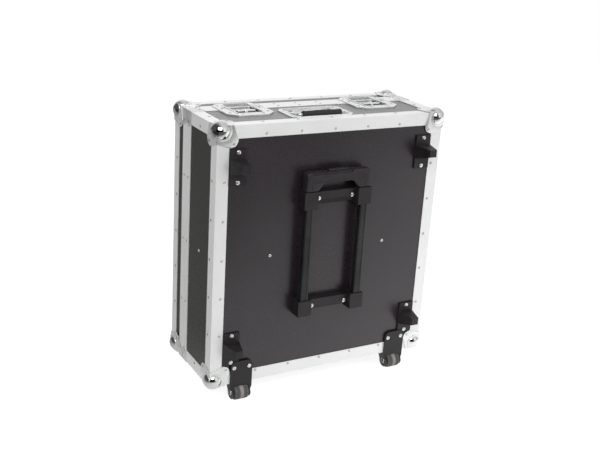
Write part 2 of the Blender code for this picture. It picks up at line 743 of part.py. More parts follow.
def make_trolley_grip(finish, upper_top):
    low = upper_top + CLEARANCE
    top = BOTTOM + GRIP_TOP
    half = GRIP_WIDTH / 2
    near = FRONT - GRIP_PROUD
    far = near + GRIP_DEPTH
    arch = low + GRIP_ARCH
    inner = half - GRIP_LEG
    outline = [
        (-half, low),
        (-inner, low),
        (-inner + GRIP_ARCH_SLOPE, arch),
        (inner - GRIP_ARCH_SLOPE, arch),
        (inner, low),
        (half, low),
        (half, top - 2 * GRIP_EDGE),
        (half - 2 * GRIP_EDGE, top),
        (-half + 2 * GRIP_EDGE, top),
        (-half, top - 2 * GRIP_EDGE),
    ]
    grip = soften(prism(outline, "Y", near, far), GRIP_EDGE, 2, 50)
    apply_modifiers(grip)
    for centre in tube_centres().values():
        socket_top = upper_top + GRIP_SOCKET + CLEARANCE
        cut(grip, prism(tube_outline(centre, 2, CLEARANCE), "Z", low - MM, socket_top))
    middle = (near + far) / 2
    button_half = BUTTON_WIDTH / 2
    button_low = top + BUTTON_PROUD - BUTTON_HEIGHT
    well = block(
        (-button_half - CLEARANCE, middle - BUTTON_DEPTH / 2 - CLEARANCE, button_low - BUTTON_TRAVEL - CLEARANCE),
        (button_half + CLEARANCE, middle + BUTTON_DEPTH / 2 + CLEARANCE, top + MM),
    )
    cut(grip, well)
    name_part(grip, "trolley_grip", finish["black_plastic"], GRIP_STAGE, smooth=True)
    button = block(
        (-button_half, middle - BUTTON_DEPTH / 2, button_low),
        (button_half, middle + BUTTON_DEPTH / 2, top + BUTTON_PROUD),
    )
    soften(button, 1.0 * MM, 2)
    name_part(button, "trolley_release_button", finish["black_plastic"], BUTTON_AXIS)


def apply_modifiers(obj):
    depsgraph = bpy.context.evaluated_depsgraph_get()
    mesh = bpy.data.meshes.new_from_object(obj.evaluated_get(depsgraph))
    obj.modifiers.clear()
    obj.data = mesh
    return obj


def chamfered(low, high, chamfer):
    return [
        (low[0] + chamfer, low[1]),
        (high[0] - chamfer, low[1]),
        (high[0], low[1] + chamfer),
        (high[0], high[1] - chamfer),
        (high[0] - chamfer, high[1]),
        (low[0] + chamfer, high[1]),
        (low[0], high[1] - chamfer),
        (low[0], low[1] + chamfer),
    ]


def handle_pan():
    """Low and high corner, in X and Y, of the handle's recess."""
    half = HANDLE_WIDTH / 2 - HANDLE_RIM
    near = FRONT + HANDLE_FRONT + HANDLE_NEAR_RIM
    far = FRONT + HANDLE_FRONT + HANDLE_DEPTH - HANDLE_FAR_RIM
    return (HANDLE_SHIFT - half, near), (HANDLE_SHIFT + half, far)


def handle_cutter():
    low, high = handle_pan()
    grow = DISH_SHEET + CLEARANCE
    return block(
        (low[0] - grow, low[1] - grow, TOP - 2 * LINING),
        (high[0] + grow, high[1] + grow, TOP + MM),
    )


def make_handle(finish):
    seat = TOP - SHELL + CLEARANCE
    face = seat + DISH_SHEET
    flange = chamfered(
        (HANDLE_SHIFT - HANDLE_WIDTH / 2, FRONT + HANDLE_FRONT),
        (HANDLE_SHIFT + HANDLE_WIDTH / 2, FRONT + HANDLE_FRONT + HANDLE_DEPTH),
        HANDLE_CHAMFER,
    )
    low, high = handle_pan()
    floor = face - HANDLE_PAN
    dish = prism(flange, "Z", seat, face)
    pan = block(
        (low[0] - DISH_SHEET, low[1] - DISH_SHEET, floor - DISH_SHEET),
        (high[0] + DISH_SHEET, high[1] + DISH_SHEET, face - DISH_SHEET / 2),
    )
    fuse(dish, pan)
    cut(dish, block((low[0], low[1], floor), (high[0], high[1], face + MM)))
    pivot_y = FRONT + BAIL_PIVOT_BACK
    pivot_z = TOP - BAIL_PIVOT_DROP
    ear_half = BAIL_SPAN / 2 + BAIL_RADIUS
    for side in SIDES.values():
        xs = sorted((HANDLE_SHIFT + side * (ear_half + CLEARANCE), low[0] if side < 0 else high[0]))
        ear = block(
            (xs[0], pivot_y - 2 * BAIL_RADIUS, floor - DISH_SHEET / 2),
            (xs[1], high[1] + DISH_SHEET / 2, face - DISH_SHEET / 2),
        )
        fuse(dish, ear)
    reach = HANDLE_WIDTH / 2 - HANDLE_RIM / 2
    bore = rod(
        (pivot_y, pivot_z), "X", BAIL_RADIUS + CLEARANCE, HANDLE_SHIFT - reach, HANDLE_SHIFT + reach, 16
    )
    cut(dish, bore)
    name_part(dish, "handle_dish", finish["chrome"])

    grip_y = FRONT + BAIL_GRIP_BACK
    grip_z = TOP + BAIL_GRIP_RISE
    half = BAIL_SPAN / 2
    bail = rod((grip_y, grip_z), "X", BAIL_RADIUS, HANDLE_SHIFT - half, HANDLE_SHIFT + half, 12)
    pin_reach = HANDLE_WIDTH / 2 - HANDLE_RIM - CLEARANCE
    for side in SIDES.values():
        x = HANDLE_SHIFT + side * half
        start = Vector((x, grip_y, grip_z))
        end = Vector((x, pivot_y, pivot_z))
        fuse(bail, ball(start, BAIL_RADIUS * 1.04, 12, 8), ball(end, BAIL_RADIUS * 1.04, 12, 8))
        fuse(bail, link(start, end, BAIL_RADIUS, 12))
        xs = sorted((x, HANDLE_SHIFT + side * pin_reach))
        fuse(bail, rod((pivot_y, pivot_z), "X", BAIL_RADIUS * 0.98, xs[0], xs[1], 12))
    name_part(bail, "handle_bail", finish["chrome"], BAIL_AXIS, smooth=True)
    grip_half = HANDLE_GRIP_LENGTH / 2
    grip = rod(
        (grip_y, grip_z), "X", HANDLE_GRIP_RADIUS, HANDLE_SHIFT - grip_half, HANDLE_SHIFT + grip_half, 20
    )
    core = rod(
        (grip_y, grip_z), "X", BAIL_RADIUS + CLEARANCE, HANDLE_SHIFT - half, HANDLE_SHIFT + half, 12
    )
    cut(grip, core)
    name_part(grip, "handle_grip", finish["grip_rubber"], BAIL_AXIS, smooth=True)


def link(start, end, radius, sides):
    """A round bar between two points."""
    bm = bmesh.new()
    direction = end - start
    turn = direction.to_track_quat("Z", "X").to_matrix().to_4x4()
    place = Matrix.Translation((start + end) / 2) @ turn
    bmesh.ops.create_cone(
        bm, cap_ends=True, segments=sides, radius1=radius, radius2=radius,
        depth=direction.length, matrix=place,
    )
    return object_from(bm, "shape")


def latch_x(side):
    return side * (CASE_WIDTH / 2 - LATCH_INSET)


def latch_cutter(side, margin=0.0):
    """The notch for one latch through the walls and the closure profiles' outer faces."""
    grow = DISH_SHEET + CLEARANCE + margin
    half = LATCH_PAN_WIDTH / 2 + grow
    x = latch_x(side)
    return block(
        (x - half, SEAM - LATCH_PAN_BASE - grow, TOP - LINING),
        (x + half, SEAM + LATCH_PAN_LID + grow, TOP + MM),
    )


def latch_half(x, flange_ys, pan_ys, open_end):
    """One sheet-metal half of a latch: a chamfered flange round a pan that is open at the seam."""
    seat = TOP + CLEARANCE
    face = seat + DISH_SHEET
    floor = TOP - LINING + CLEARANCE
    half = LATCH_WIDTH / 2
    pan_half = LATCH_PAN_WIDTH / 2
    near, far = flange_ys
    if open_end > 0:
        outline = [
            (x - half, far), (x - half, near + LATCH_CHAMFER), (x - half + LATCH_CHAMFER, near),
            (x + half - LATCH_CHAMFER, near), (x + half, near + LATCH_CHAMFER), (x + half, far),
        ]
    else:
        outline = [
            (x - half, near), (x - half, far - LATCH_CHAMFER), (x - half + LATCH_CHAMFER, far),
            (x + half - LATCH_CHAMFER, far), (x + half, far - LATCH_CHAMFER), (x + half, near),
        ]
    dish = prism(outline, "Z", seat, face)
    low, high = pan_ys
    closed = DISH_SHEET
    pan = block(
        (x - pan_half - DISH_SHEET, low - (closed if open_end > 0 else 0), floor),
        (x + pan_half + DISH_SHEET, high + (closed if open_end < 0 else 0), face - DISH_SHEET / 2),
    )
    fuse(dish, pan)
    hollow = block(
        (x - pan_half, low - (0 if open_end > 0 else MM), floor + DISH_SHEET),
        (x + pan_half, high + (0 if open_end < 0 else MM), face + MM),
    )
    return cut(dish, hollow)


def make_latches(finish):
    gap = CLEARANCE / 2
    floor = TOP - LINING + CLEARANCE + DISH_SHEET
    for side_name, side in SIDES.items():
        x = latch_x(side)
        base = latch_half(
            x, (SEAM - LATCH_BASE_REACH, SEAM - gap), (SEAM - LATCH_PAN_BASE, SEAM - gap), 1
        )
        name_part(base, "latch_dish_" + side_name, finish["chrome"])
        catch = latch_half(
            x, (SEAM + gap, SEAM + LATCH_LID_REACH), (SEAM + gap, SEAM + LATCH_PAN_LID), -1
        )
        name_part(catch, "latch_catch_dish_" + side_name, finish["chrome"], LID_AXIS)

        hook_low = floor + CLEARANCE
        half = HOOK_WIDTH / 2
        hook = block(
            (x - half, SEAM - HOOK_TAIL, hook_low),
            (x + half, SEAM + HOOK_NOSE, hook_low + HOOK_THICKNESS),
        )
        slot = KEY_HUB_RADIUS + MM
        cut(hook, block(
            (x - slot, SEAM - KEY_BACK - slot - HOOK_TRAVEL, hook_low - MM),
            (x + slot, SEAM - KEY_BACK + slot, hook_low + 2 * HOOK_THICKNESS),
        ))
        name_part(hook, "latch_hook_" + side_name, finish["zinc"], HOOK_AXES[side_name])

        centre = (x, SEAM - KEY_BACK)
        key_low = TOP + KEY_RISE - KEY_THICKNESS
        key = rod(centre, "Z", KEY_HUB_RADIUS, hook_low, key_low + KEY_THICKNESS / 2)
        wing = prism(
            rounded_rectangle(
                (centre[0] - KEY_LENGTH / 2, centre[1] - KEY_WIDTH / 2),
                (centre[0] + KEY_LENGTH / 2, centre[1] + KEY_WIDTH / 2),
                KEY_WIDTH / 2 - MM,
                4,
            ),
            "Z",
            key_low,
            key_low + KEY_THICKNESS,
        )
        fuse(key, wing)
        name_part(key, "latch_key_" + side_name, finish["chrome"], KEY_AXES[side_name], smooth=True)


def make_hinge(finish):
    half = HINGE_LENGTH / 2
    plate_top = BOTTOM - CLEARANCE
    plate_low = plate_top - HINGE_SHEET
    axis = (SEAM, HINGE_AXIS_Z)
    pitch = HINGE_LENGTH / KNUCKLE_COUNT
    for leaf, away in (("base", -1), ("lid", 1)):
        ys = sorted((SEAM + away * HINGE_RELIEF, SEAM + away * HINGE_LEAF))
        body = block((-half, ys[0], plate_low), (half, ys[1], plate_top))
        for index in range(KNUCKLE_COUNT):
            if (index % 2 == 0) == (leaf == "lid"):
                continue
            start = -half + index * pitch + CLEARANCE / 2
            end = start + pitch - CLEARANCE
            tab_ys = sorted((SEAM, SEAM + away * (HINGE_RELIEF + MM)))
            tab = block((start, tab_ys[0], plate_low), (end, tab_ys[1], plate_top))
            knuckle = rod(axis, "X", KNUCKLE_RADIUS, start, end, 16)
            fuse(body, tab, knuckle)
        bore = rod(axis, "X", HINGE_PIN_RADIUS + CLEARANCE, -half - MM, half + MM, 16)
        cut(body, bore)
        parent = LID_AXIS if leaf == "lid" else None
        name_part(body, f"hinge_{leaf}_leaf", finish["zinc"], parent)
    reach = half + CLEARANCE
    pin = rod(axis, "X", HINGE_PIN_RADIUS, -reach, reach, 16)
    for side in SIDES.values():
        ends = sorted((side * reach, side * (reach + HINGE_PIN_HEAD)))
        fuse(pin, rod(axis, "X", HINGE_PIN_RADIUS + MM, ends[0], ends[1], 16))
    name_part(pin, "hinge_pin", finish["zinc"], smooth=True)


def make_divider(finish):
    middle = BOTTOM + CASE_HEIGHT / 2
    board = block(
        (LEFT + LINING, FRONT + LINING, middle - DIVIDER_THICKNESS / 2),
        (RIGHT - LINING, SEAM - DIVIDER_SETBACK, middle + DIVIDER_THICKNESS / 2),
    )
    name_part(board, "divider_board", finish["plywood"])


clear_scene()
LID_AXIS = pivot("lid_axis", (0, SEAM, HINGE_AXIS_Z))
MIDDLE_STAGE = pivot("trolley_middle_stage", (0, FRONT, BOTTOM + UPPER_BRACKET_Z))
GRIP_STAGE = pivot("trolley_grip_stage", (0, FRONT, BOTTOM + GRIP_TOP))
BUTTON_AXIS = pivot("button_axis", (0, FRONT - GRIP_PROUD + GRIP_DEPTH / 2, BOTTOM + GRIP_TOP))
BAIL_AXIS = pivot("bail_axis", (HANDLE_SHIFT, FRONT + BAIL_PIVOT_BACK, TOP - BAIL_PIVOT_DROP))
KEY_AXES = {
    name: pivot("key_axis_" + name, (latch_x(side), SEAM - KEY_BACK, TOP)) for name, side in SIDES.items()
}
HOOK_AXES = {
    name: pivot("hook_axis_" + name, (latch_x(side), SEAM, TOP)) for name, side in SIDES.items()
}
FINISH = make_materials()
make_base_panels(FINISH)
make_lid_panels(FINISH)
make_edge_angles(FINISH)
make_closures(FINISH)
make_ball_corners(FINISH)
make_wedge_feet(FINISH)
make_rear_feet(FINISH)
make_castors(FINISH)
make_trolley(FINISH)
make_handle(FINISH)
make_latches(FINISH)
make_hinge(FINISH)
make_divider(FINISH)
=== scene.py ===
import math

import bmesh
import bpy
from mathutils import Matrix, Vector


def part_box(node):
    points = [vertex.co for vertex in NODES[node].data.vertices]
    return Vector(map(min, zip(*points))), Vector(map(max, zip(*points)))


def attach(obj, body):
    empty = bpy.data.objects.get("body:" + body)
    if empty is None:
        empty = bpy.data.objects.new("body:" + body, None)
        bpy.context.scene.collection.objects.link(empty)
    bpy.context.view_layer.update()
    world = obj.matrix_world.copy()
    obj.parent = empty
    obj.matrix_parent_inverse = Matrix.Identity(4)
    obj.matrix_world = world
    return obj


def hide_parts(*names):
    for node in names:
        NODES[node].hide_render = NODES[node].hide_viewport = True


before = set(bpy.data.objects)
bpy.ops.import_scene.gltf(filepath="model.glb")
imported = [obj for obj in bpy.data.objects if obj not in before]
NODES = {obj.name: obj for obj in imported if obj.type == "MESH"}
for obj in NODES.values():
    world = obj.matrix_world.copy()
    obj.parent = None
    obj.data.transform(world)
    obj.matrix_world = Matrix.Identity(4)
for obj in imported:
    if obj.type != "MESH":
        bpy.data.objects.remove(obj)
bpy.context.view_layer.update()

MM = 0.001
LOW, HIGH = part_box("base_edge_frame")
FRONT = LOW.y
BOTTOM = LOW.z
TOP = (HIGH.z - LOW.z) / MM
HALF = HIGH.x / MM
BACK = (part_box("lid_edge_frame")[1].y - FRONT) / MM
# Half of the gap between the two halves of the case
GAP = 0.15
SEAM = (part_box("base_closure_frame")[1].y - FRONT) / MM + GAP
# Shapes are drawn in millimetres: x from the middle, y from the front face, z from the case's bottom
CASE = Matrix.Translation((0, FRONT, BOTTOM)) @ Matrix.Diagonal((MM, MM, MM, 1))
SIDES = {"left": -1, "right": 1}
UP, DOWN, FRONTWARD, BACKWARD = (0, 0, 1), (0, 0, -1), (0, -1, 0), (0, 1, 0)
CASTOR_X = HALF - 73.8


def case_box(node):
    """A node's low and high corner in the drawing's millimetres."""
    low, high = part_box(node)
    back = CASE.inverted()
    return back @ low, back @ high


# Mesh building


def clean(bm):
    """Merges equal points and turns the faces outwards."""
    bmesh.ops.remove_doubles(bm, verts=bm.verts, dist=1e-4)
    bmesh.ops.recalc_face_normals(bm, faces=bm.faces)
    return bm


def prism(outline, axis, start, end):
    """An outline pushed along an axis; its points are in the two other axes, in their order."""
    bm = bmesh.new()
    make = {
        "X": lambda p, t: (t, p[0], p[1]),
        "Y": lambda p, t: (p[0], t, p[1]),
        "Z": lambda p, t: (p[0], p[1], t),
    }[axis]
    first = [bm.verts.new(make(p, start)) for p in outline]
    second = [bm.verts.new(make(p, end)) for p in outline]
    bm.faces.new(first)
    bm.faces.new(second)
    for i in range(len(outline)):
        j = (i + 1) % len(outline)
        bm.faces.new((first[i], first[j], second[j], second[i]))
    return clean(bm)


def block(low, high):
    """A box between two corners."""
    outline = [(low[0], low[1]), (high[0], low[1]), (high[0], high[1]), (low[0], high[1])]
    return prism(outline, "Z", low[2], high[2])


def arc(centre, radius, start, turn, steps):
    """Points from a start angle through a turn, both in degrees."""
    points = []
    for step in range(steps + 1):
        angle = math.radians(start + turn * step / steps)
        points.append((centre[0] + radius * math.cos(angle), centre[1] + radius * math.sin(angle)))
    return points


# Which corners of a rectangle are cut, anticlockwise from its low corner
ALL_CORNERS, NEAR_CORNERS, FAR_CORNERS = (1, 1, 1, 1), (1, 1, 0, 0), (0, 0, 1, 1)


def rounded(low, high, radius, steps=5, corners=ALL_CORNERS):
    """A rectangle with rounded corners."""
    points = []
    places = (
        (low[0], low[1], 1, 1, 180),
        (high[0], low[1], -1, 1, 270),
        (high[0], high[1], -1, -1, 0),
        (low[0], high[1], 1, -1, 90),
    )
    for cut, (x, y, dx, dy, start) in zip(corners, places):
        points += arc((x + dx * radius, y + dy * radius), radius, start, 90, steps) if cut else [(x, y)]
    return points


def chamfered(low, high, size, corners=ALL_CORNERS):
    """A rectangle with corners cut off at 45 degrees."""
    return rounded(low, high, size, 1, corners)


def lathe(profile, steps=24, place=None):
    """Turns (radius, height) pairs round Z; a radius of 0 closes the shape on the axis."""
    bm = bmesh.new()
    rings = []
    for radius, height in profile:
        angles = [2 * math.pi * i / steps for i in range(steps if radius else 1)]
        rings.append([bm.verts.new((radius * math.cos(a), radius * math.sin(a), height)) for a in angles])
    pairs = list(zip(rings, rings[1:]))
    if len(rings[0]) > 1 and len(rings[-1]) > 1:
        pairs.append((rings[-1], rings[0]))
    for a, b in pairs:
        for i in range(steps):
            j = (i + 1) % steps
            corners = dict.fromkeys((a[i % len(a)], a[j % len(a)], b[j % len(b)], b[i % len(b)]))
            if len(corners) > 2:
                bm.faces.new(tuple(corners))
    if place is not None:
        bm.transform(place)
    bmesh.ops.recalc_face_normals(bm, faces=bm.faces)
    return bm


def mirrored(profile):
    """A profile from its low end to the middle, carried on by its mirror image."""
    return profile + [(radius, -height) for radius, height in reversed(profile)]


def crosswise(x, place, turn=1):
    """Lays a lathed shape along X at a place, its top towards +X, or towards -X for a turn of -1."""
    return Matrix.Translation((x, *place)) @ Matrix.Rotation(turn * math.pi / 2, 4, "Y")


def along(path, radius, sides=12):
    """A round bar of constant radius along a list of points."""
    bm = bmesh.new()
    points = [Vector(p) for p in path]
    rings = []
    normal = None
    for i, point in enumerate(points):
        ahead = (points[min(i + 1, len(points) - 1)] - points[max(i - 1, 0)]).normalized()
        if normal is None:
            normal = ahead.orthogonal().normalized()
        normal = (normal - ahead * normal.dot(ahead)).normalized()
        other = ahead.cross(normal)
        ring = []
        for k in range(sides):
            angle = 2 * math.pi * k / sides
            ring.append(bm.verts.new(point + radius * (math.cos(angle) * normal + math.sin(angle) * other)))
        rings.append(ring)
    for a, b in zip(rings, rings[1:]):
        for k in range(sides):
            j = (k + 1) % sides
            bm.faces.new((a[k], a[j], b[j], b[k]))
    bm.faces.new(rings[0])
    bm.faces.new(rings[-1])
    return clean(bm)


def bar(start, end, place, radius, sides):
    """A straight round bar from one x to another."""
    return along([(start, *place), (end, *place)], radius, sides)


def bent(points, radius, steps=6):
    """The points of a path with its inner corners rounded."""
    points = [Vector(p) for p in points]
    path = [points[0]]
    for before, corner, after in zip(points, points[1:], points[2:]):
        start = corner + (before - corner).normalized() * radius
        end = corner + (after - corner).normalized() * radius
        for step in range(steps + 1):
            t = step / steps
            path.append((1 - t) ** 2 * start + 2 * t * (1 - t) * corner + t * t * end)
    path.append(points[-1])
    return path


def to_mesh(bm, name):
    """Turns a drawn shape into mesh data and uses it up."""
    mesh = bpy.data.meshes.new(name)
    bm.to_mesh(mesh)
    bm.free()
    return mesh


def new_object(name, data):
    """A new object in the scene."""
    obj = bpy.data.objects.new(name, data)
    bpy.context.scene.collection.objects.link(obj)
    return obj


def boolean(bm, operation, others):
    """Joins a shape with others, or cuts them from it, and uses all of them up."""
    first, *tools = [new_object("shape", to_mesh(shape, "shape")) for shape in (bm, *others)]
    for tool in tools:
        step = first.modifiers.new("step", "BOOLEAN")
        step.operation = operation
        step.solver = "EXACT"
        step.object = tool
    graph = bpy.context.evaluated_depsgraph_get()
    made = bpy.data.meshes.new_from_object(first.evaluated_get(graph))
    result = bmesh.new()
    result.from_mesh(made)
    for obj in (first, *tools):
        mesh = obj.data
        bpy.data.objects.remove(obj, do_unlink=True)
        bpy.data.meshes.remove(mesh)
    bpy.data.meshes.remove(made)
    return clean(result)


def carve(bm, *others):
    """Cuts shapes from another."""
    return boolean(bm, "DIFFERENCE", others)


def fuse(bm, *others):
    """Joins shapes that touch."""
    return boolean(bm, "UNION", others)


def bevel(bm, size, steps=2, angle=30, only=None):
    """Rounds the edges sharper than the angle, all of them or those that the test picks."""
    edges = []
    for edge in bm.edges:
        if len(edge.link_faces) == 2 and edge.calc_face_angle(0) > math.radians(angle):
            if only is None or only(edge):
                edges.append(edge)
    bmesh.ops.bevel(
        bm, geom=edges, offset=size, segments=steps, profile=0.5, affect="EDGES", clamp_overlap=True
    )
    return clean(bm)


def above(level):
    """A test for edges that lie wholly over a level."""
    return lambda edge: min(v.co.z for v in edge.verts) > level


def outer(level, index):
    """A test for edges that lie wholly under a level of one axis."""
    return lambda edge: max(v.co[index] for v in edge.verts) < level


def copied(bm, place):
    """A copy moved to its place, with its faces kept outwards when the place mirrors it."""
    other = bm.copy()
    other.transform(place)
    if place.determinant() < 0:
        bmesh.ops.reverse_faces(other, faces=other.faces)
    return other


def joined(parts):
    """One mesh from several that don't touch."""
    whole = bmesh.new()
    for part in parts:
        mesh = to_mesh(part, "part")
        whole.from_mesh(mesh)
        bpy.data.meshes.remove(mesh)
    return whole


def case_corners(y, inward):
    """Names the case's four corners at a depth and says how a shape drawn at the origin gets there."""
    for end_name, z, up in (("bottom", 0, 1), ("top", TOP, -1)):
        for side_name, side in SIDES.items():
            place = Matrix.Translation((side * HALF, y, z)) @ Matrix.Diagonal((-side, inward, up, 1))
            yield f"{end_name}_{side_name}", place


def moved(place, spots):
    """Points and normals after a move."""
    turn = place.to_3x3()
    return [(place @ Vector(point), turn @ Vector(normal)) for point, normal in spots]


def facing(point, normal, spin=0.0):
    """Moves a shape drawn on Z = 0 to a point of a surface, upright along its normal."""
    turn = Vector(normal).to_track_quat("Z", "Y").to_matrix().to_4x4()
    return Matrix.Translation(point) @ turn @ Matrix.Rotation(math.radians(spin), 4, "Z")


def shade_edges(bm, limit):
    """Smooth shading, with edges over the limit in degrees kept sharp."""
    for face in bm.faces:
        face.smooth = True
    for edge in bm.edges:
        if len(edge.link_faces) == 2:
            edge.smooth = edge.calc_face_angle(0) < math.radians(limit)


def piece(name, bm, material, body, limit=35, replaces=()):
    """Makes a scene object from a drawn shape and gives it to its body."""
    bm.transform(CASE)
    shade_edges(bm, limit)
    obj = new_object(name, to_mesh(bm, name))
    obj.data.materials.append(material)
    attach(obj, body)
    if replaces:
        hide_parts(*replaces)
    return obj


# Materials


class Graph:
    """Adds nodes to a node tree; an input is given as a constant or as the output to link."""

    def __init__(self, tree):
        self.tree = tree

    def feed(self, socket, value):
        if isinstance(value, bpy.types.NodeSocket):
            self.tree.links.new(value, socket)
        else:
            socket.default_value = value

    def add(self, kind, inputs=(), **settings):
        node = self.tree.nodes.new(kind)
        for key, value in settings.items():
            setattr(node, key, value)
        for key, value in dict(inputs).items():
            self.feed(node.inputs[key], value)
        return node

    def maths(self, operation, *values):
        return self.add("ShaderNodeMath", enumerate(values), operation=operation).outputs[0]

    def times(self, first, second):
        return self.maths("MULTIPLY", first, second)

    def size(self, value):
        return self.maths("ABSOLUTE", value)

    def span(self, value, low, high, to_low=0.0, to_high=1.0, kind="LINEAR"):
        """Maps one range of a value to another."""
        inputs = {"Value": value, "From Min": low, "From Max": high, "To Min": to_low, "To Max": to_high}
        return self.add("ShaderNodeMapRange", inputs, interpolation_type=kind).outputs["Result"]

    def toward(self, vector, aim):
        """How far a vector reaches along an aim."""
        node = self.add("ShaderNodeVectorMath", {0: vector, 1: aim}, operation="DOT_PRODUCT")
        return node.outputs["Value"]

    def split(self, vector):
        """A vector's X, Y and Z."""
        return self.add("ShaderNodeSeparateXYZ", {0: vector}).outputs

    def rays(self):
        """Whether a ray comes from the camera, and whether it was mirrored or let through."""
        ray = self.add("ShaderNodeLightPath").outputs
        return ray["Is Camera Ray"], self.maths("MAXIMUM", ray["Is Glossy Ray"], ray["Is Transmission Ray"])


class Finish(Graph):
    """A Principled material whose colour, roughness and bump come from nodes."""

    def __init__(self, name, metallic=0.0, specular=0.5):
        self.material = bpy.data.materials.new(name)
        self.material.use_nodes = True
        super().__init__(self.material.node_tree)
        self.shader = self.tree.nodes["Principled BSDF"]
        self.shader.inputs["Metallic"].default_value = metallic
        self.shader.inputs["Specular IOR Level"].default_value = specular
        self.place = self.add("ShaderNodeTexCoord").outputs["Object"]

    def stretched(self, scale):
        if scale is None:
            return self.place
        return self.add("ShaderNodeMapping", {"Vector": self.place, "Scale": scale}).outputs["Vector"]

    def noise(self, scale, detail=3.0, rough=0.55, stretch=None):
        inputs = {"Vector": self.stretched(stretch), "Scale": scale, "Detail": detail, "Roughness": rough}
        return self.add("ShaderNodeTexNoise", inputs).outputs["Fac"]

    def cells(self, scale, feature="F1", stretch=None):
        inputs = {"Vector": self.stretched(stretch), "Scale": scale}
        return self.add("ShaderNodeTexVoronoi", inputs, feature=feature).outputs["Distance"]

    def mixed(self, factor, first, second):
        """Mixes two numbers."""
        return self.add("ShaderNodeMix", {0: factor, 2: first, 3: second}).outputs[0]

    def tinted(self, factor, first, second):
        """Mixes two colours."""
        first, second = [(*value, 1.0) if isinstance(value, tuple) else value for value in (first, second)]
        return self.add("ShaderNodeMix", {0: factor, 6: first, 7: second}, data_type="RGBA").outputs[2]

    def axis(self, letter):
        return self.split(self.place)[letter]

    def up(self):
        """The upward part of the surface's normal."""
        return self.split(self.add("ShaderNodeNewGeometry").outputs["Normal"])["Z"]

    def finished(self, colour, rough, layers):
        """Links colour, roughness and a stack of bumps, each a height, a strength and a depth in metres."""
        last = {}
        for height, strength, depth in layers:
            inputs = {"Height": height, "Strength": strength, "Distance": depth, **last}
            last = {"Normal": self.add("ShaderNodeBump", inputs).outputs["Normal"]}
        for key, value in {"Base Color": colour, "Roughness": rough, **last}.items():
            self.feed(self.shader.inputs[key], value)
        return self.material


def laminate(name, dark, light, specular):
    """Black film on plywood: a fine even grain, faint smears, hairline scuffs, and on upward faces dust with
    painted sheen.
    """
    f = Finish(name, specular=specular)
    smear = f.noise(5.0, 4.0, 0.6)
    cloud = f.noise(2.2, 2.0, 0.5)
    grain = f.noise(1100.0, 2.0, 0.5)
    weave = f.noise(420.0, 3.0, 0.6)
    scuff = f.cells(34.0, "DISTANCE_TO_EDGE", (1.0, 1.0, 0.22))
    fine = f.span(scuff, 0.0, 0.012, 1.0, 0.0)
    patch = f.span(f.noise(3.1, 2.0), 0.55, 0.75)
    marks = f.times(fine, patch)
    tone = f.tinted(f.span(smear, 0.3, 0.7), dark, light)
    tone = f.tinted(f.times(marks, 0.5), tone, (0.05, 0.05, 0.048))
    # Lighter on upward faces: partly dust, partly painted sheen standing in for the grazing reflection of
    # the top.
    dust_and_sheen_patches = f.span(f.noise(26.0, 4.0, 0.65), 0.2, 0.8, 0.55, 0.9)
    dust = f.times(f.span(f.up(), 0.4, 0.9), dust_and_sheen_patches)
    tone = f.tinted(dust, tone, (0.20, 0.20, 0.20))
    rough = f.maths("ADD", f.span(cloud, 0.3, 0.7, 0.25, 0.32), f.span(weave, 0.3, 0.7, -0.02, 0.04))
    return f.finished(tone, rough, [(grain, 0.12, 0.0002), (weave, 0.06, 0.0004), (marks, 0.15, 0.0002)])


def brushed(name, direction):
    """Satin aluminium with its drawing lines along X, Y or Z, or along the legs of a mitred ring."""
    f = Finish(name, metallic=0.5)
    stretches = {"X": (0.02, 1.0, 1.0), "Y": (1.0, 0.02, 1.0), "Z": (1.0, 1.0, 0.02)}
    if direction == "ring":
        across = f.noise(1500.0, 3.0, 0.6, stretches["X"])
        upright = f.noise(1500.0, 3.0, 0.6, stretches["Z"])
        x = f.size(f.axis("X"))
        z = f.size(f.maths("SUBTRACT", f.axis("Z"), BOTTOM + TOP / 2 * MM))
        to_side = f.maths("SUBTRACT", HALF * MM, x)
        to_end = f.maths("SUBTRACT", TOP / 2 * MM, z)
        side = f.span(f.maths("SUBTRACT", to_end, to_side), -0.0002, 0.0002)
        lines = f.mixed(side, across, upright)
        mitre = f.span(f.size(f.maths("SUBTRACT", to_end, to_side)), 0.0001, 0.0004, 1.0, 0.0)
        reach = f.span(f.maths("MAXIMUM", to_end, to_side), 0.030, 0.031, 1.0, 0.0)
        joint = f.times(mitre, reach)
    else:
        lines = f.noise(1500.0, 3.0, 0.6, stretches[direction])
        joint = None
    smudge = f.noise(9.0, 4.0, 0.6)
    pits = f.span(f.cells(260.0), 0.0, 0.09, 1.0, 0.0)
    tone = f.tinted(f.span(smudge, 0.25, 0.75), (0.88, 0.885, 0.875), (0.94, 0.945, 0.94))
    tone = f.tinted(f.span(lines, 0.35, 0.65, 0.0, 0.16), tone, (0.76, 0.765, 0.76))
    tone = f.tinted(f.times(pits, 0.12), tone, (0.5, 0.5, 0.49))
    if joint is not None:
        tone = f.tinted(f.times(joint, 0.75), tone, (0.14, 0.14, 0.14))
    rough = f.maths("ADD", f.span(smudge, 0.25, 0.75, 0.40, 0.50), f.span(lines, 0.35, 0.65, -0.03, 0.04))
    return f.finished(tone, rough, [(lines, 0.1, 0.0002), (f.noise(60.0, 2.0), 0.05, 0.0006)])


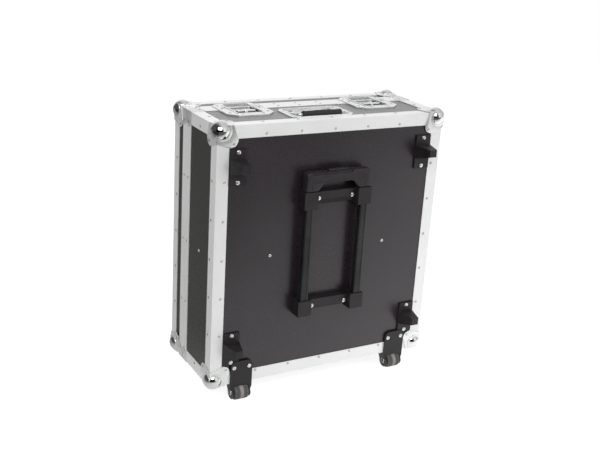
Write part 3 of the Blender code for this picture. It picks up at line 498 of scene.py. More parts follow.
def plated(name, light, dark, low, high, dents=0.05, spangle=0.0, metallic=0.9):
    """Bright plated steel with a slight ripple, fine scratches and cloudy patches."""
    f = Finish(name, metallic=metallic)
    cloud = f.noise(38.0, 4.0, 0.65)
    ripple = f.noise(90.0, 2.0, 0.5)
    scratch = f.noise(900.0, 2.0, 0.5, (1.0, 0.08, 0.3))
    cross = f.noise(900.0, 2.0, 0.5, (0.08, 1.0, 0.4))
    lines = f.times(f.span(scratch, 0.58, 0.7), f.span(cross, 0.4, 0.7))
    tone = f.tinted(f.span(cloud, 0.3, 0.7), light, dark)
    if spangle:
        tone = f.tinted(f.times(f.cells(420.0), spangle), tone, dark)
    rough = f.maths("ADD", f.span(cloud, 0.3, 0.7, low, high), f.times(lines, 0.12))
    return f.finished(tone, rough, [(ripple, dents, 0.001), (lines, 0.06, 0.0002)])


def moulded(name, dark, light, low, high, grain=1400.0, depth=0.3, specular=0.45):
    """Moulded plastic or rubber: an even grain with lighter rubbed places."""
    f = Finish(name, specular=specular)
    pebble = f.noise(grain, 3.0, 0.6)
    cell = f.cells(grain * 0.5)
    rub = f.noise(30.0, 4.0, 0.6)
    dust = f.noise(220.0, 3.0, 0.6)
    tone = f.tinted(f.span(rub, 0.35, 0.75), dark, light)
    tone = f.tinted(f.span(dust, 0.62, 0.8, 0.0, 0.35), tone, tuple(2.2 * v for v in light))
    rough = f.maths("ADD", f.span(rub, 0.3, 0.7, low, high), f.span(pebble, 0.3, 0.7, -0.04, 0.06))
    return f.finished(tone, rough, [(pebble, depth, 0.0002), (cell, depth * 0.5, 0.0002)])


def anodised(name):
    """Black anodised tube with drawing lines along its length."""
    f = Finish(name, metallic=0.75)
    lines = f.noise(1700.0, 3.0, 0.6, (1.0, 1.0, 0.015))
    cloud = f.noise(14.0, 4.0, 0.6)
    rub = f.span(f.noise(55.0, 4.0, 0.7, (1.0, 1.0, 0.2)), 0.6, 0.8)
    tone = f.tinted(f.span(cloud, 0.3, 0.7), (0.030, 0.030, 0.031), (0.054, 0.054, 0.055))
    tone = f.tinted(f.times(rub, 0.25), tone, (0.09, 0.09, 0.092))
    rough = f.maths("ADD", f.span(cloud, 0.3, 0.7, 0.3, 0.4), f.span(lines, 0.3, 0.7, -0.04, 0.05))
    return f.finished(tone, rough, [(lines, 0.14, 0.0002)])


def plywood(name):
    """Birch plywood: long grain on the faces and stacked plies along the edges."""
    f = Finish(name, specular=0.3)
    grain = f.noise(60.0, 5.0, 0.65, (0.12, 1.0, 1.0))
    figure = f.noise(9.0, 3.0, 0.6, (0.2, 1.0, 1.0))
    ply = f.maths("SINE", f.times(f.axis("Z"), 2 * math.pi / 0.0028))
    edge = f.span(f.size(f.up()), 0.4, 0.6, 1.0, 0.0)
    wood = f.tinted(f.span(figure, 0.3, 0.7), (0.50, 0.34, 0.19), (0.62, 0.45, 0.27))
    wood = f.tinted(f.span(grain, 0.5, 0.75, 0.0, 0.5), wood, (0.36, 0.22, 0.11))
    layers = f.tinted(f.span(ply, -0.2, 0.2), (0.34, 0.21, 0.11), (0.60, 0.44, 0.26))
    tone = f.tinted(edge, wood, layers)
    rough = f.span(grain, 0.3, 0.7, 0.52, 0.68)
    fine = f.noise(700.0, 2.0, 0.5, (0.1, 1.0, 1.0))
    return f.finished(tone, rough, [(grain, 0.25, 0.0003), (fine, 0.2, 0.0002)])


def tyre(name):
    """Grey wheel rubber with a painted highlight: a pale band round the middle of its tread and a faint
    lightening near each side.
    """
    f = Finish(name, specular=0.4)
    cloud = f.noise(70.0, 4.0, 0.6)
    grit = f.noise(900.0, 3.0, 0.6)
    scuffs = f.span(f.noise(240.0, 4.0, 0.7, (0.3, 1.0, 1.0)), 0.58, 0.75)
    tone = f.tinted(f.span(cloud, 0.3, 0.7), (0.062, 0.059, 0.057), (0.115, 0.109, 0.105))
    # The pale bands across the tread are painted highlight standing in for the tread's reflection.
    across = f.size(f.maths("SUBTRACT", f.size(f.axis("X")), CASTOR_X * MM))
    painted_highlight_band = f.span(f.maths("ADD", across, f.span(cloud, 0.0, 1.0, -0.001, 0.001)), 0.003, 0.0052, 1.0, 0.0)
    edge = f.span(across, 0.0130, 0.0145)
    tone = f.tinted(f.maths("MAXIMUM", painted_highlight_band, f.times(edge, 0.15)), tone, (0.27, 0.255, 0.245))
    tone = f.tinted(f.times(scuffs, 0.45), tone, (0.28, 0.27, 0.26))
    rough = f.span(cloud, 0.3, 0.7, 0.5, 0.68)
    return f.finished(tone, rough, [(grit, 0.3, 0.0003), (scuffs, 0.2, 0.0003)])


PANEL_FILM = laminate("black_panel_film", (0.0134, 0.0092, 0.0122), (0.0212, 0.0156, 0.0200), 0.75)
# The walls' copy of the film is darker, greener and less glossy than the panels': painted shade for the
# dimmer light on the walls.
SHADED_WALL_FILM = laminate("black_wall_film_painted_shade", (0.0094, 0.0096, 0.0052), (0.0156, 0.0158, 0.0104), 0.38)
ALUMINIUM_RING = brushed("aluminium_frame", "ring")
ALUMINIUM_DEPTH = brushed("aluminium_long_corner", "Y")
RIVET = plated("rivet_aluminium", (0.66, 0.665, 0.66), (0.52, 0.525, 0.52), 0.34, 0.46)
BRACE = plated("brace_aluminium", (0.86, 0.865, 0.86), (0.74, 0.745, 0.74), 0.28, 0.4, metallic=0.8)
CORNER = plated("ball_corner_steel", (0.86, 0.87, 0.86), (0.76, 0.77, 0.76), 0.16, 0.26, 0.06, metallic=0.74)
BALL = plated("polished_ball_steel", (0.80, 0.81, 0.80), (0.74, 0.75, 0.74), 0.05, 0.11, 0.04, metallic=1.0)
CHROME = plated("latch_chrome", (0.85, 0.855, 0.86), (0.74, 0.745, 0.75), 0.16, 0.28, 0.06, metallic=0.72)
DISH = plated("handle_dish_chrome", (0.91, 0.915, 0.92), (0.83, 0.835, 0.84), 0.2, 0.32, metallic=0.5)
KEY = plated("key_chrome", (0.88, 0.885, 0.89), (0.80, 0.805, 0.81), 0.07, 0.15, 0.03)
GUIDE = plated("guide_steel", (0.40, 0.40, 0.39), (0.28, 0.28, 0.275), 0.3, 0.42, 0.05, 0.4)
ZINC = plated("zinc_steel", (0.70, 0.70, 0.68), (0.56, 0.56, 0.55), 0.3, 0.42, 0.05, 0.5)
SCREW = plated("screw_steel", (0.86, 0.86, 0.85), (0.72, 0.72, 0.71), 0.18, 0.3, 0.04)
PLASTIC = moulded("black_moulded_plastic", (0.0104, 0.0082, 0.0098), (0.0195, 0.0166, 0.0186), 0.42, 0.56)
GRIP = moulded("black_grip", (0.0146, 0.0114, 0.0138), (0.0262, 0.0222, 0.0252), 0.36, 0.5, 1000.0, 0.25)
RUBBER = moulded("grip_rubber_black", (0.012,) * 3, (0.022,) * 3, 0.5, 0.66, 1200.0, 0.4)
# Near black: painted shade for the inside of the latch pans.
PAINTED_SHADE_LINING = moulded("latch_well_lining", (0.003,) * 3, (0.007,) * 3, 0.8, 0.95, 700.0, 0.4, 0.12)
TUBE = anodised("black_anodised_tube")
WOOD = plywood("birch_plywood")
TYRE = tyre("grey_wheel_rubber")


def dress(names, material, width=0.0, segments=2, angle=30):
    """Gives CAD nodes their material and, where a width is given, rounded edges."""
    for name in names:
        obj = NODES[name]
        for slot in obj.material_slots:
            slot.material = material
        if not obj.material_slots:
            obj.data.materials.append(material)
        if width:
            step = obj.modifiers.new("edge", "BEVEL")
            step.width = width
            step.segments = segments
            step.limit_method = "ANGLE"
            step.angle_limit = math.radians(angle)
            step.harden_normals = True


def both(pattern):
    """The names of a left and a right node."""
    return [pattern.format(side) for side in SIDES]


dress(["base_panel", "lid_panel"], PANEL_FILM)
# The walls take the shaded copy of the film.
dress(["base_wall_top", "base_wall_bottom", "lid_walls"] + both("base_wall_{}"), SHADED_WALL_FILM)
dress(["base_edge_frame", "lid_edge_frame"], ALUMINIUM_RING, 0.0009, 3)
dress(["base_closure_frame", "lid_closure_frame"], ALUMINIUM_RING, 0.0005)
dress(both("base_depth_angle_bottom_{}") + both("base_depth_angle_top_{}"), ALUMINIUM_DEPTH, 0.0009, 3)
dress(both("wedge_foot_low_{}") + both("wedge_foot_high_{}"), PLASTIC)
dress(both("castor_housing_{}"), PLASTIC, 0.0009, 3, 35)
dress(["trolley_lower_bracket", "trolley_upper_bracket"], PLASTIC)
dress(both("trolley_middle_tube_{}") + both("trolley_inner_tube_{}"), TUBE)
dress(["trolley_release_button"], RUBBER)
dress(both("latch_hook_{}"), ZINC, 0.0004)
dress(["hinge_base_leaf", "hinge_lid_leaf"], ZINC, 0.0003)
dress(["hinge_pin"], ZINC)
dress(["divider_board"], WOOD, 0.0005)


# Rivets and screws

RIVET_PROFILE = [
    (0, -0.1), (1.0, -0.1), (1.15, 0.75), (1.5, 0.98), (2.2, 0.86), (2.9, 0.5),
    (3.25, 0.0), (3.25, -0.3), (0, -0.3),
]
RIVET_SHAPE = lathe(RIVET_PROFILE, 14)


def screw_shape(radius, height, cross):
    """A truss-head screw with a cross recess."""
    dome = []
    for step in range(7):
        angle = math.radians(90 * step / 6)
        dome.append((radius * math.sin(angle), height * math.cos(angle) ** 0.8 if step < 6 else 0.0))
    dome[0] = (0, height)
    head = lathe(dome + [(radius, -0.3), (0, -0.3)], 28)
    rim, floor, tip = height + 1, height - 1.25, cross * 0.55
    arm = prism([(-cross, rim), (-tip, floor), (tip, floor), (cross, rim)], "Y", -cross * 0.26, cross * 0.26)
    return carve(head, arm, copied(arm, Matrix.Rotation(math.radians(90), 4, "Z")))


BIG_SCREW = screw_shape(5.1, 1.9, 3.0)
SMALL_SCREW = screw_shape(3.6, 1.3, 2.1)

# Where the frames' rivets sit: along the width from the left side, and up from the bottom
ACROSS = (109.5, 191.0, 272.0, 353.5, 434.5)
UPRIGHT = (120.0, 207.0, 293.0, 379.0, 463.0)


def fixings(name, shape, places, material, body, scale=1.0):
    """One piece for a row of equal rivets or screws, each seated on its surface."""
    parts = []
    for index, (point, normal) in enumerate(places):
        spot = facing(point, normal, 37.0 * index % 90)
        parts.append(copied(shape, spot @ Matrix.Diagonal((scale, scale, scale, 1))))
    return piece(name, joined(parts), material, body, 40)


def rivets(name, places, body, scale=1.0):
    """One piece for the rivets at several places."""
    fixings(name, RIVET_SHAPE, places, RIVET, body, scale)


def around(face_y, face_normal, y_side, inset_side, inset_top, inset_bottom):
    """Rivet places of one riveted frame: its big face, and its sides and ends at the depth y_side."""
    face, sides, ends = [], [], []
    for x in ACROSS:
        for z, inset, up in ((TOP, -inset_top, 1), (0, inset_bottom, -1)):
            face.append(((x - HALF, face_y, z + inset), face_normal))
            ends.append(((x - HALF, y_side, z), (0, 0, up)))
    for z in UPRIGHT:
        for side in (-1, 1):
            face.append(((side * (HALF - inset_side), face_y, z), face_normal))
            sides.append(((side * HALF, y_side, z), (side, 0, 0)))
    return face + sides + ends


base_places = around(0, FRONTWARD, 19, 19.0, 20.5, 22.5)
for side in (-1, 1):
    for z, normal in ((TOP, UP), (0, DOWN)):
        base_places.append(((side * (HALF - 19), 85, z), normal))
    for z in (19, TOP - 19):
        base_places.append(((side * HALF, 85, z), (side, 0, 0)))
rivets("base_frame_rivets", base_places, "case")
lid_places = around(BACK, BACKWARD, BACK - 16, 17, 17, 17)
rivets("lid_frame_rivets", lid_places, "lid")


def seam_places(y):
    """Rivet places along one closure profile."""
    places = []
    for side in (-1, 1):
        places.extend(((side * HALF, y, z), (side, 0, 0)) for z in (145, 290, 435))
        places.append(((side * 154, y, 0), DOWN))
    places.extend(((x, y, TOP), UP) for x in (-65, -12, 41))
    return places


rivets("base_seam_rivets", seam_places(SEAM - 10.5), "case", 0.85)
rivets("lid_seam_rivets", seam_places(SEAM + 10.5), "lid", 0.85)

foot_screws = []
for side in (-1, 1):
    for middle in (85.4, 492.8):
        for step in (-31.75, 31.75):
            foot_screws.append(((side * (HALF - 47.4), -2.5, middle + step), FRONTWARD))
fixings("foot_screws", BIG_SCREW, foot_screws, SCREW, "case", 0.95)
castor_screws = [((side * (HALF - inset), -4.0, 38.5), FRONTWARD) for side in (-1, 1) for inset in (56, 92)]
fixings("castor_screws", BIG_SCREW, castor_screws, SCREW, "case", 0.95)
bracket_screws = [((x, -16.0, z), FRONTWARD) for x in (-42, 42) for z in (164.6, 414.0)]
boss = lathe([(0, -5.0), (6.9, -5.0), (6.6, -0.4), (6.2, 0.0), (5.4, 0.0), (5.3, -0.3), (0, -0.3)], 32)
fixings("bracket_screw_bosses", boss, bracket_screws, PLASTIC, "case")
boss.free()
fixings("bracket_screws", BIG_SCREW, bracket_screws, SCREW, "case", 1.0)
panel_screws = [((x - HALF, 1.8, 290), FRONTWARD) for x in (132.3, 417)]
panel_screws += [((side * (HALF - 1.8), 81, 290), (side, 0, 0)) for side in (-1, 1)]
fixings("divider_screws", SMALL_SCREW, panel_screws, SCREW, "case")
for body, away in (("case", -1), ("lid", 1)):
    spots = [((x, SEAM + away * 15.0, -1.8), DOWN) for x in (-125, -85, -40, 0, 40, 85, 125)]
    rivets(f"hinge_rivets_{body}", spots, body, 0.8)


# Ball corners


BALL_CENTRE, BALL_RADIUS = 12.0, 21.0


def ball_corner():
    """A pressed ball corner at the origin with the case inside +X, +Y, +Z."""
    skin = 1.8
    collar_face = -skin - 0.9
    middle = (BALL_CENTRE, BALL_CENTRE)
    ball = bmesh.new()
    bmesh.ops.create_uvsphere(ball, u_segments=48, v_segments=28, radius=BALL_RADIUS)
    turn = Vector((1, 1, 1)).to_track_quat("Z", "Y").to_matrix().to_4x4()
    ball.transform(Matrix.Translation((BALL_CENTRE,) * 3) @ turn)
    tip = bent([(36, -skin, 0), (47, 30, 0), (42, 42, 0), (30, 47, 0), (-skin, 36, 0)], 4.0, 4)
    outline = [(8, -skin), (36, -skin), *((p.x, p.y) for p in tip[1:-1]), (-skin, 36), (-skin, 8)]
    fold = math.degrees(math.asin((collar_face - BALL_CENTRE) / 19.6))
    ring = [(14, collar_face), *arc(middle, 19.6, fold, 90 - 2 * fold, 40)]
    ring += [(collar_face, 14), *arc(middle, 13.5, 170, -250, 40)]
    plates = []
    for index, axis in enumerate("XYZ"):
        plates.append(bevel(prism(outline, axis, -skin, -0.2), 0.6, 2, 50, outer(-skin + 0.05, index)))
        collar = prism(ring, axis, collar_face, -0.4)
        plates.append(bevel(collar, 0.55, 2, 50, outer(collar_face + 0.1, index)))
    inside = block((-0.3,) * 3, (100,) * 3)
    nearest = min(inside.verts, key=lambda vert: vert.co.length)
    bmesh.ops.bevel(inside, geom=[nearest], offset=1.4, segments=1, affect="VERTICES")
    return carve(fuse(ball, *plates), inside)


CORNER_SHAPE = ball_corner()
CORNER_SPOTS = [((37, 37, -1.75), DOWN), ((37, -1.75, 37), FRONTWARD), ((-1.75, 37, 37), (-1, 0, 0))]
for half, body, y, inward in (("base", "case", 0, 1), ("lid", "lid", BACK, -1)):
    spots = []
    for corner, place in case_corners(y, inward):
        node = f"{half}_ball_corner_{corner}"
        shape = copied(CORNER_SHAPE, place)
        pressed = piece(f"{node}_pressed", shape, CORNER, body, 30, (node,)).data
        pressed.materials.append(BALL)
        centre = CASE @ place @ Vector((BALL_CENTRE,) * 3)
        for face in pressed.polygons:
            reach = [(pressed.vertices[v].co - centre).length / MM for v in face.vertices]
            if min(reach) > BALL_RADIUS - 0.4 and max(reach) < BALL_RADIUS + 0.3:
                face.material_index = 1
        spots += moved(place, CORNER_SPOTS)
    rivets(f"{half}_corner_rivets", spots, body)


# Corner braces at the seam


def brace(low, high):
    """A folded corner brace over two faces, at the origin's edge along Y, its flaps' ends cut off."""
    flap, skin, cut = 33, 1.1, 7.0
    outline = [(-skin, -skin), (flap, -skin), (flap, 0.02), (0.02, 0.02), (0.02, flap), (-skin, flap)]
    sheet = prism(outline, "Y", low, high)
    start, beyond = flap - cut, flap + 1
    for end, inward in ((low, 1), (high, -1)):
        outside = end - inward
        triangle = [(start, end), (beyond, end + inward * (cut + 1)), (beyond, outside), (start, outside)]
        sheet = carve(sheet, prism(triangle, "Z", -3, 1))
        sheet = carve(sheet, prism([(b, a) for a, b in triangle], "X", -3, 1))
    return bevel(sheet, 0.3, 2, 50)


for half, low, high in (("case", SEAM - 24.5, SEAM - 0.6), ("lid", SEAM + 0.6, SEAM + 20.0)):
    shape = brace(low, high)
    middle = (low + high) / 2
    spots = []
    for corner, place in case_corners(0, 1):
        piece(f"seam_brace_{half}_{corner}", copied(shape, place), BRACE, half, 30)
        spots += moved(place, [((23, middle, -1.1), DOWN), ((-1.1, middle, 23), (-1, 0, 0))])
    shape.free()
    rivets(f"seam_brace_rivets_{half}", spots, half, 0.9)


# Butterfly latches

LATCH_SEAT = TOP + 0.3
LATCH_FACE = TOP + 1.5
PAN_FLOOR = TOP - 9.1 + 0.3 + 1.2
LATCH_HALF = 55
KEY_Y = SEAM - 38


def with_pan(sheet, x, end, seam_end, corners):
    """Adds a raised rim and a pan to a latch's plate, and hollows them out through their seam end."""
    inward = 1 if seam_end > end else -1
    layers = []
    for half, inset, past, radius, steps, low, high in (
        (33, 0, 0, 9, 5, LATCH_SEAT, LATCH_FACE + 0.9),
        (30.2, 2.8, 0, 7, 4, PAN_FLOOR - 1.2, LATCH_FACE - 0.5),
        (29, 4, 1, 6, 5, PAN_FLOOR, LATCH_FACE + 3),
    ):
        near, far = sorted((end + inward * inset, seam_end + inward * past))
        plan = rounded((x - half, near), (x + half, far), radius, steps, corners)
        layers.append(prism(plan, "Z", low, high))
    rim, pan, hollow = layers
    return carve(fuse(sheet, bevel(rim, 0.7, 3, 50, above(LATCH_FACE + 0.8)), pan), hollow)


def latch_base(x):
    """The latch's plate and pan on the base, with a fold that fills the step under the plate."""
    near, far = SEAM - 82, SEAM - GAP
    plan = chamfered((x - LATCH_HALF, near), (x + LATCH_HALF, far), 19, NEAR_CORNERS)
    sheet = bevel(prism(plan, "Z", LATCH_SEAT, LATCH_FACE), 1.1, 3, 50, above(LATCH_FACE - 0.05))
    inner = LATCH_HALF - 0.6
    plan = chamfered((x - inner, near + 0.6), (x + inner, SEAM - 21.4), 19, NEAR_CORNERS)
    fold = prism(plan, "Z", TOP - 1.75, LATCH_FACE - 0.6)
    return with_pan(fuse(sheet, fold), x, SEAM - 70, far, NEAR_CORNERS)


def latch_catch(x):
    """The catch's plate and pan on the lid, with the round bar that the hook goes under."""
    near, far = SEAM + GAP, SEAM + 32
    plan = chamfered((x - LATCH_HALF, near), (x + LATCH_HALF, far), 16, FAR_CORNERS)
    sheet = bevel(prism(plan, "Z", LATCH_SEAT, LATCH_FACE), 0.5, 2, 50, above(LATCH_FACE - 0.05))
    whole = with_pan(sheet, x, SEAM + 26, near, FAR_CORNERS)
    return fuse(whole, bar(x - 29.8, x + 29.8, (SEAM + 7, TOP - 2.6), 1.9, 14))


def hook_guide(x):
    """The riveted bridge over the hook, with a round hole for the key's hub."""
    half, top, sheet = 25.5, TOP - 2.2, 1.6
    plan = rounded((x - half, SEAM - 47), (x + half, SEAM - 29), 4, 4)
    plate = bevel(prism(plan, "Z", top - sheet, top), 0.4, 2, 50, above(top - 0.05))
    walls = [
        block((low, SEAM - 46, PAN_FLOOR - 0.2), (low + sheet, SEAM - 30, top - sheet / 2))
        for low in (x - half, x + half - sheet)
    ]
    hole = along([(x, KEY_Y, top - 6), (x, KEY_Y, top + 2)], 8.2, 32)
    return carve(fuse(plate, *walls), hole)


def latch_well(x):
    """A near-black sheet lining the pan round the guide: painted shade for the pan's recess."""
    plan = rounded((x - 28.6, SEAM - 65.6), (x + 28.6, SEAM - 0.6), 5.6, 5, NEAR_CORNERS)
    inner = rounded((x - 28.1, SEAM - 65.1), (x + 28.1, SEAM + 1), 5.2, 5, NEAR_CORNERS)
    return carve(prism(plan, "Z", PAN_FLOOR, TOP - 1.6), prism(inner, "Z", PAN_FLOOR + 0.25, TOP))


def butterfly_key(x, y, low):
    """A two-winged key with thumb hollows and a domed rivet at its middle."""
    outline = []
    for step in range(64):
        angle = 2 * math.pi * step / 64
        across, along_y = math.cos(angle), math.sin(angle)
        reach = 22.0 * abs(across) ** 0.55
        width = (5.6 + 4.9 * abs(across) ** 0.9) * abs(along_y) ** 0.6
        outline.append((x + math.copysign(reach, across), y + math.copysign(width, along_y)))
    wing = bevel(prism(outline, "Z", low, low + 3.2), 0.8, 3, 40)
    hollows = []
    for side in (-1, 1):
        cup = bmesh.new()
        bmesh.ops.create_uvsphere(cup, u_segments=28, v_segments=14, radius=1.0)
        place = Matrix.Translation((x + side * 13.4, y, low + 3.9))
        cup.transform(place @ Matrix.Diagonal((7.0, 7.2, 2.4, 1)))
        hollows.append(cup)
    wing = carve(wing, *hollows)
    foot = PAN_FLOOR + 0.3 - low
    profile = [(0, foot), (6.8, foot), (6.8, 0.5), (5.6, 2.8), (5.2, 3.6), (3.4, 4.1), (0, 4.2)]
    return fuse(wing, lathe(profile, 28, Matrix.Translation((x, y, low))))


for side_name, side in SIDES.items():
    x = side * (HALF - 117)
    shape = latch_base(x)
    node = f"latch_dish_{side_name}"
    piece(f"latch_base_pressed_{side_name}", shape, CHROME, "case", 30, (node,))
    piece(f"latch_guide_{side_name}", hook_guide(x), GUIDE, "case", 30)
    # A near-black sheet in the pan: painted shade.
    piece(f"latch_well_{side_name}", latch_well(x), PAINTED_SHADE_LINING, "case", 30)
    shape = latch_catch(x)
    node = f"latch_catch_dish_{side_name}"
    piece(f"latch_catch_pressed_{side_name}", shape, CHROME, "lid", 30, (node,))
    shape = butterfly_key(x, KEY_Y, TOP - 1.5)
    node = f"latch_key_{side_name}"
    piece(f"butterfly_key_{side_name}", shape, KEY, f"key_{side_name}", 35, (node,))
    spots = [((x + u, SEAM - v, LATCH_FACE), UP) for u in (-44, 44) for v in (14, 56)]
    spots += [((x + u, SEAM - 76, LATCH_FACE), UP) for u in (-24, 24)]
    rivets(f"latch_rivets_base_{side_name}", spots, "case", 0.9)
    spots = [((x + u, SEAM + 12, LATCH_FACE), UP) for u in (-44, 44)]
    rivets(f"latch_rivets_lid_{side_name}", spots, "lid", 0.9)


# Carrying handle

SHIFT = -12.0
DISH_SEAT = TOP - 1.5
DISH_FACE = DISH_SEAT + 1.2
DISH_FLOOR = DISH_FACE - 14.0
DISH_NEAR, DISH_FAR = 28.5, SEAM - 37.5
PIVOT = (SEAM - 54.0, TOP - 6.0)
GRIP_LINE = (47.0, TOP + 2.0)


def dish():
    """The handle's pressed plate with a raised edge, its pan, and four lugs bored for the bail."""
    low, high = (SHIFT - 76.5, DISH_NEAR), (SHIFT + 76.5, DISH_FAR)
    pan_low, pan_high = (SHIFT - 65.5, DISH_NEAR + 7.0), (SHIFT + 65.5, DISH_FAR - 5.5)

    def round_pan(wide, deep, radius, steps, floor, top):
        """A prism with the pan's plan, made larger by two margins."""
        first = (pan_low[0] - wide, pan_low[1] - deep)
        last = (pan_high[0] + wide, pan_high[1] + deep)
        return prism(rounded(first, last, radius, steps), "Z", floor, top)

    sheet = prism(chamfered(low, high, 14), "Z", DISH_SEAT, DISH_FACE)
    lip = prism(chamfered(low, high, 14), "Z", DISH_SEAT, DISH_FACE + 0.9)
    lip = bevel(lip, 0.5, 2, 50, above(DISH_FACE + 0.8))
    inner = chamfered((low[0] + 2.0, low[1] + 1.6), (high[0] - 2.0, high[1] - 1.6), 13.2)
    lip = carve(lip, prism(inner, "Z", DISH_FACE, DISH_FACE + 3))
    rim = round_pan(2.2, 1.8, 9, 5, DISH_SEAT, DISH_FACE + 1.1)
    rim = bevel(rim, 0.6, 3, 50, above(DISH_FACE + 1.0))
    pan = round_pan(1.2, 1.2, 8, 5, DISH_FLOOR - 1.2, DISH_FACE - 0.5)
    whole = carve(fuse(sheet, lip, rim, pan), round_pan(0, 0, 7, 6, DISH_FLOOR, DISH_FACE + 4))
    lugs = []
    for side in (-1, 1):
        for start, end, half, top, radius in (
            (59.5, 66.0, 6.4, DISH_FACE - 0.6, 5.5),
            (40.0, 42.5, 5.0, PIVOT[1] + 4.4, 4.9),
        ):
            first, last = (PIVOT[0] - half, DISH_FLOOR - 0.5), (PIVOT[0] + half, top)
            plan = rounded(first, last, radius, 6, FAR_CORNERS)
            lugs.append(prism(plan, "X", *sorted((SHIFT + side * start, SHIFT + side * end))))
    return carve(fuse(whole, *lugs), bar(SHIFT - 65.4, SHIFT + 65.4, PIVOT, 3.5, 20))


def bail():
    """The bent wire with a pin and an eye at each end."""
    path = [(SHIFT - 56, *PIVOT), (SHIFT - 56, *GRIP_LINE), (SHIFT + 56, *GRIP_LINE), (SHIFT + 56, *PIVOT)]
    parts = [along(bent(path, 9.0, 7), 3.2, 16)]
    for side in (-1, 1):
        parts.append(bar(*sorted((SHIFT + side * 39.5, SHIFT + side * 65.2)), PIVOT, 3.1, 18))
        profile = mirrored([(0, -3.4), (3.9, -3.4), (4.4, -2.8)])
        parts.append(lathe(profile, 20, crosswise(SHIFT + side * 56, PIVOT)))
    return fuse(parts[0], *parts[1:])


def grip_sleeve():
    """The rubber sleeve on the wire, thicker in the middle and at both lips."""
    half = 48.0
    end = [(0, 0), (5.0, 0), (6.6, 0.6), (7.5, 1.8), (7.8, 3.4), (7.4, 5.0)]
    middle = []
    for step in range(25):
        t = -1 + 2 * step / 24
        middle.append((7.15 + 0.75 * math.cos(t * math.pi / 2), t * (half - 6.5)))
    profile = mirrored([(radius, height - half) for radius, height in end])
    profile[len(end):len(end)] = middle
    return lathe(profile, 32, crosswise(SHIFT, GRIP_LINE))


def spring(side):
    """A torsion spring round the pivot pin, between the lug and the bail's arm."""
    turns, start, end = 5.5, SHIFT + side * 43.3, SHIFT + side * 51.4
    points = []
    for step in range(int(turns * 16) + 1):
        t = step / (turns * 16)
        angle = 2 * math.pi * turns * t
        y, z = PIVOT[0] + 4.1 * math.cos(angle), PIVOT[1] + 4.1 * math.sin(angle)
        points.append((start + (end - start) * t, y, z))
    return along(points, 0.6, 8)


piece("handle_dish_pressed", dish(), DISH, "case", 30, ("handle_dish",))
piece("handle_bail_bent", bail(), CHROME, "carry_handle", 40, ("handle_bail",))
piece("handle_grip_sleeve", grip_sleeve(), RUBBER, "carry_handle", 50, ("handle_grip",))
for side_name, side in SIDES.items():
    piece(f"handle_spring_{side_name}", spring(side), ZINC, "case", 60)
rim_spots = [((SHIFT + u, DISH_NEAR + 3.4, DISH_FACE), UP) for u in (-54, -18, 18, 54)]
rim_spots += [((SHIFT + side * 71, y, DISH_FACE), UP) for side in (-1, 1) for y in (52, 95)]
rivets("handle_dish_rivets", rim_spots, "case", 0.5)


# Castors

AXLE = (4.0, 18.0 - BOTTOM / MM)
PIN_REACH = 16 + 1 + 4.2
WHEEL_PROFILE = mirrored([
    (3.3, -14.0), (5.5, -14.0), (6.5, -15.2), (9.5, -15.2), (10.5, -14.4), (13.0, -14.4), (14.0, -15.9),
    (15.4, -16.0), (16.8, -15.5), (17.5, -14.5), (17.8, -12.5), (17.9, -9.0), (17.5, -8.7), (17.5, -7.9),
    (17.95, -7.6), (18.0, -3.0),
])
PIN_END = [
    (0, 1.8), (4.2, 1.8), (4.5, -1.6), (5.0, -2.0), (5.7, -1.6), (6.2, -0.3),
    (5.0, -0.3), (5.0, 2.4), (3.0, 2.4),
]
PIN_PROFILE = mirrored([(radius, height - PIN_REACH) for radius, height in PIN_END])
CAP_PROFILE = [(0, 0.6), (2.6, 0.4), (4.0, -0.2), (4.0, -2.6), (0, -2.6)]
for side_name, side in SIDES.items():
    x = side * CASTOR_X
    place = crosswise(x, AXLE)
    node = f"castor_wheel_{side_name}"
    shape = lathe(WHEEL_PROFILE, 48, place)
    piece(f"castor_tyre_{side_name}", shape, TYRE, f"castor_{side_name}", 30, (node,))
    node = f"castor_axle_{side_name}"
    piece(f"castor_pin_{side_name}", lathe(PIN_PROFILE, 28, place), ZINC, "case", 30, (node,))
    caps = [lathe(CAP_PROFILE, 24, crosswise(x + end * (PIN_REACH + 0.4), AXLE, end)) for end in (-1, 1)]
    piece(f"castor_pin_caps_{side_name}", joined(caps), PLASTIC, "case", 30)


# Trolley handle

TUBE_X, TUBE_Y = 165 / 2 - 4.8 - 10, -27 + 9
TUBE_HALF_X, TUBE_HALF_Y = 10.0, 9.0


def ribbed_outline(x, y):
    """Outer tube section with a shallow groove between two fine ridges on its front and sides."""
    wide, deep, radius, groove = TUBE_HALF_X, TUBE_HALF_Y, 3, 4.2
    dips = [(-groove - 0.9, 0.0), (-groove, 0.0), (-groove + 0.5, 0.7), (groove - 0.5, 0.7), (groove, 0.0)]
    points = []
    for side_x, side_y, start, place in (
        (-1, -1, 180, lambda t, dip: (t, -deep + dip)),
        (1, -1, 270, lambda t, dip: (wide - dip, t)),
        (1, 1, 0, lambda t, dip: (-t, deep - dip)),
        (-1, 1, 90, lambda t, dip: (-wide + dip, -t)),
    ):
        points += arc((side_x * (wide - radius), side_y * (deep - radius)), radius, start, 90, 4)
        points += [place(t, dip) for t, dip in dips]
    return [(x + a, y + b) for a, b in points]


for side_name, side in SIDES.items():
    node = f"trolley_outer_tube_{side_name}"
    low, high = case_box(node)
    x = side * TUBE_X
    skin = prism(ribbed_outline(x, TUBE_Y), "Z", low.z, high.z)
    wide, deep = TUBE_HALF_X - 1.2, TUBE_HALF_Y - 1.2
    inner = rounded((x - wide, TUBE_Y - deep), (x + wide, TUBE_Y + deep), 1.8, 3)
    shape = carve(skin, prism(inner, "Z", low.z - 1, high.z + 1))
    piece(f"trolley_outer_tube_ribbed_{side_name}", shape, TUBE, "case", 30, (node,))


def flat_path(points, radius, steps):
    """The points of a rounded path in a plane."""
    return [(p.x, p.y) for p in bent([(*point, 0) for point in points], radius, steps)]


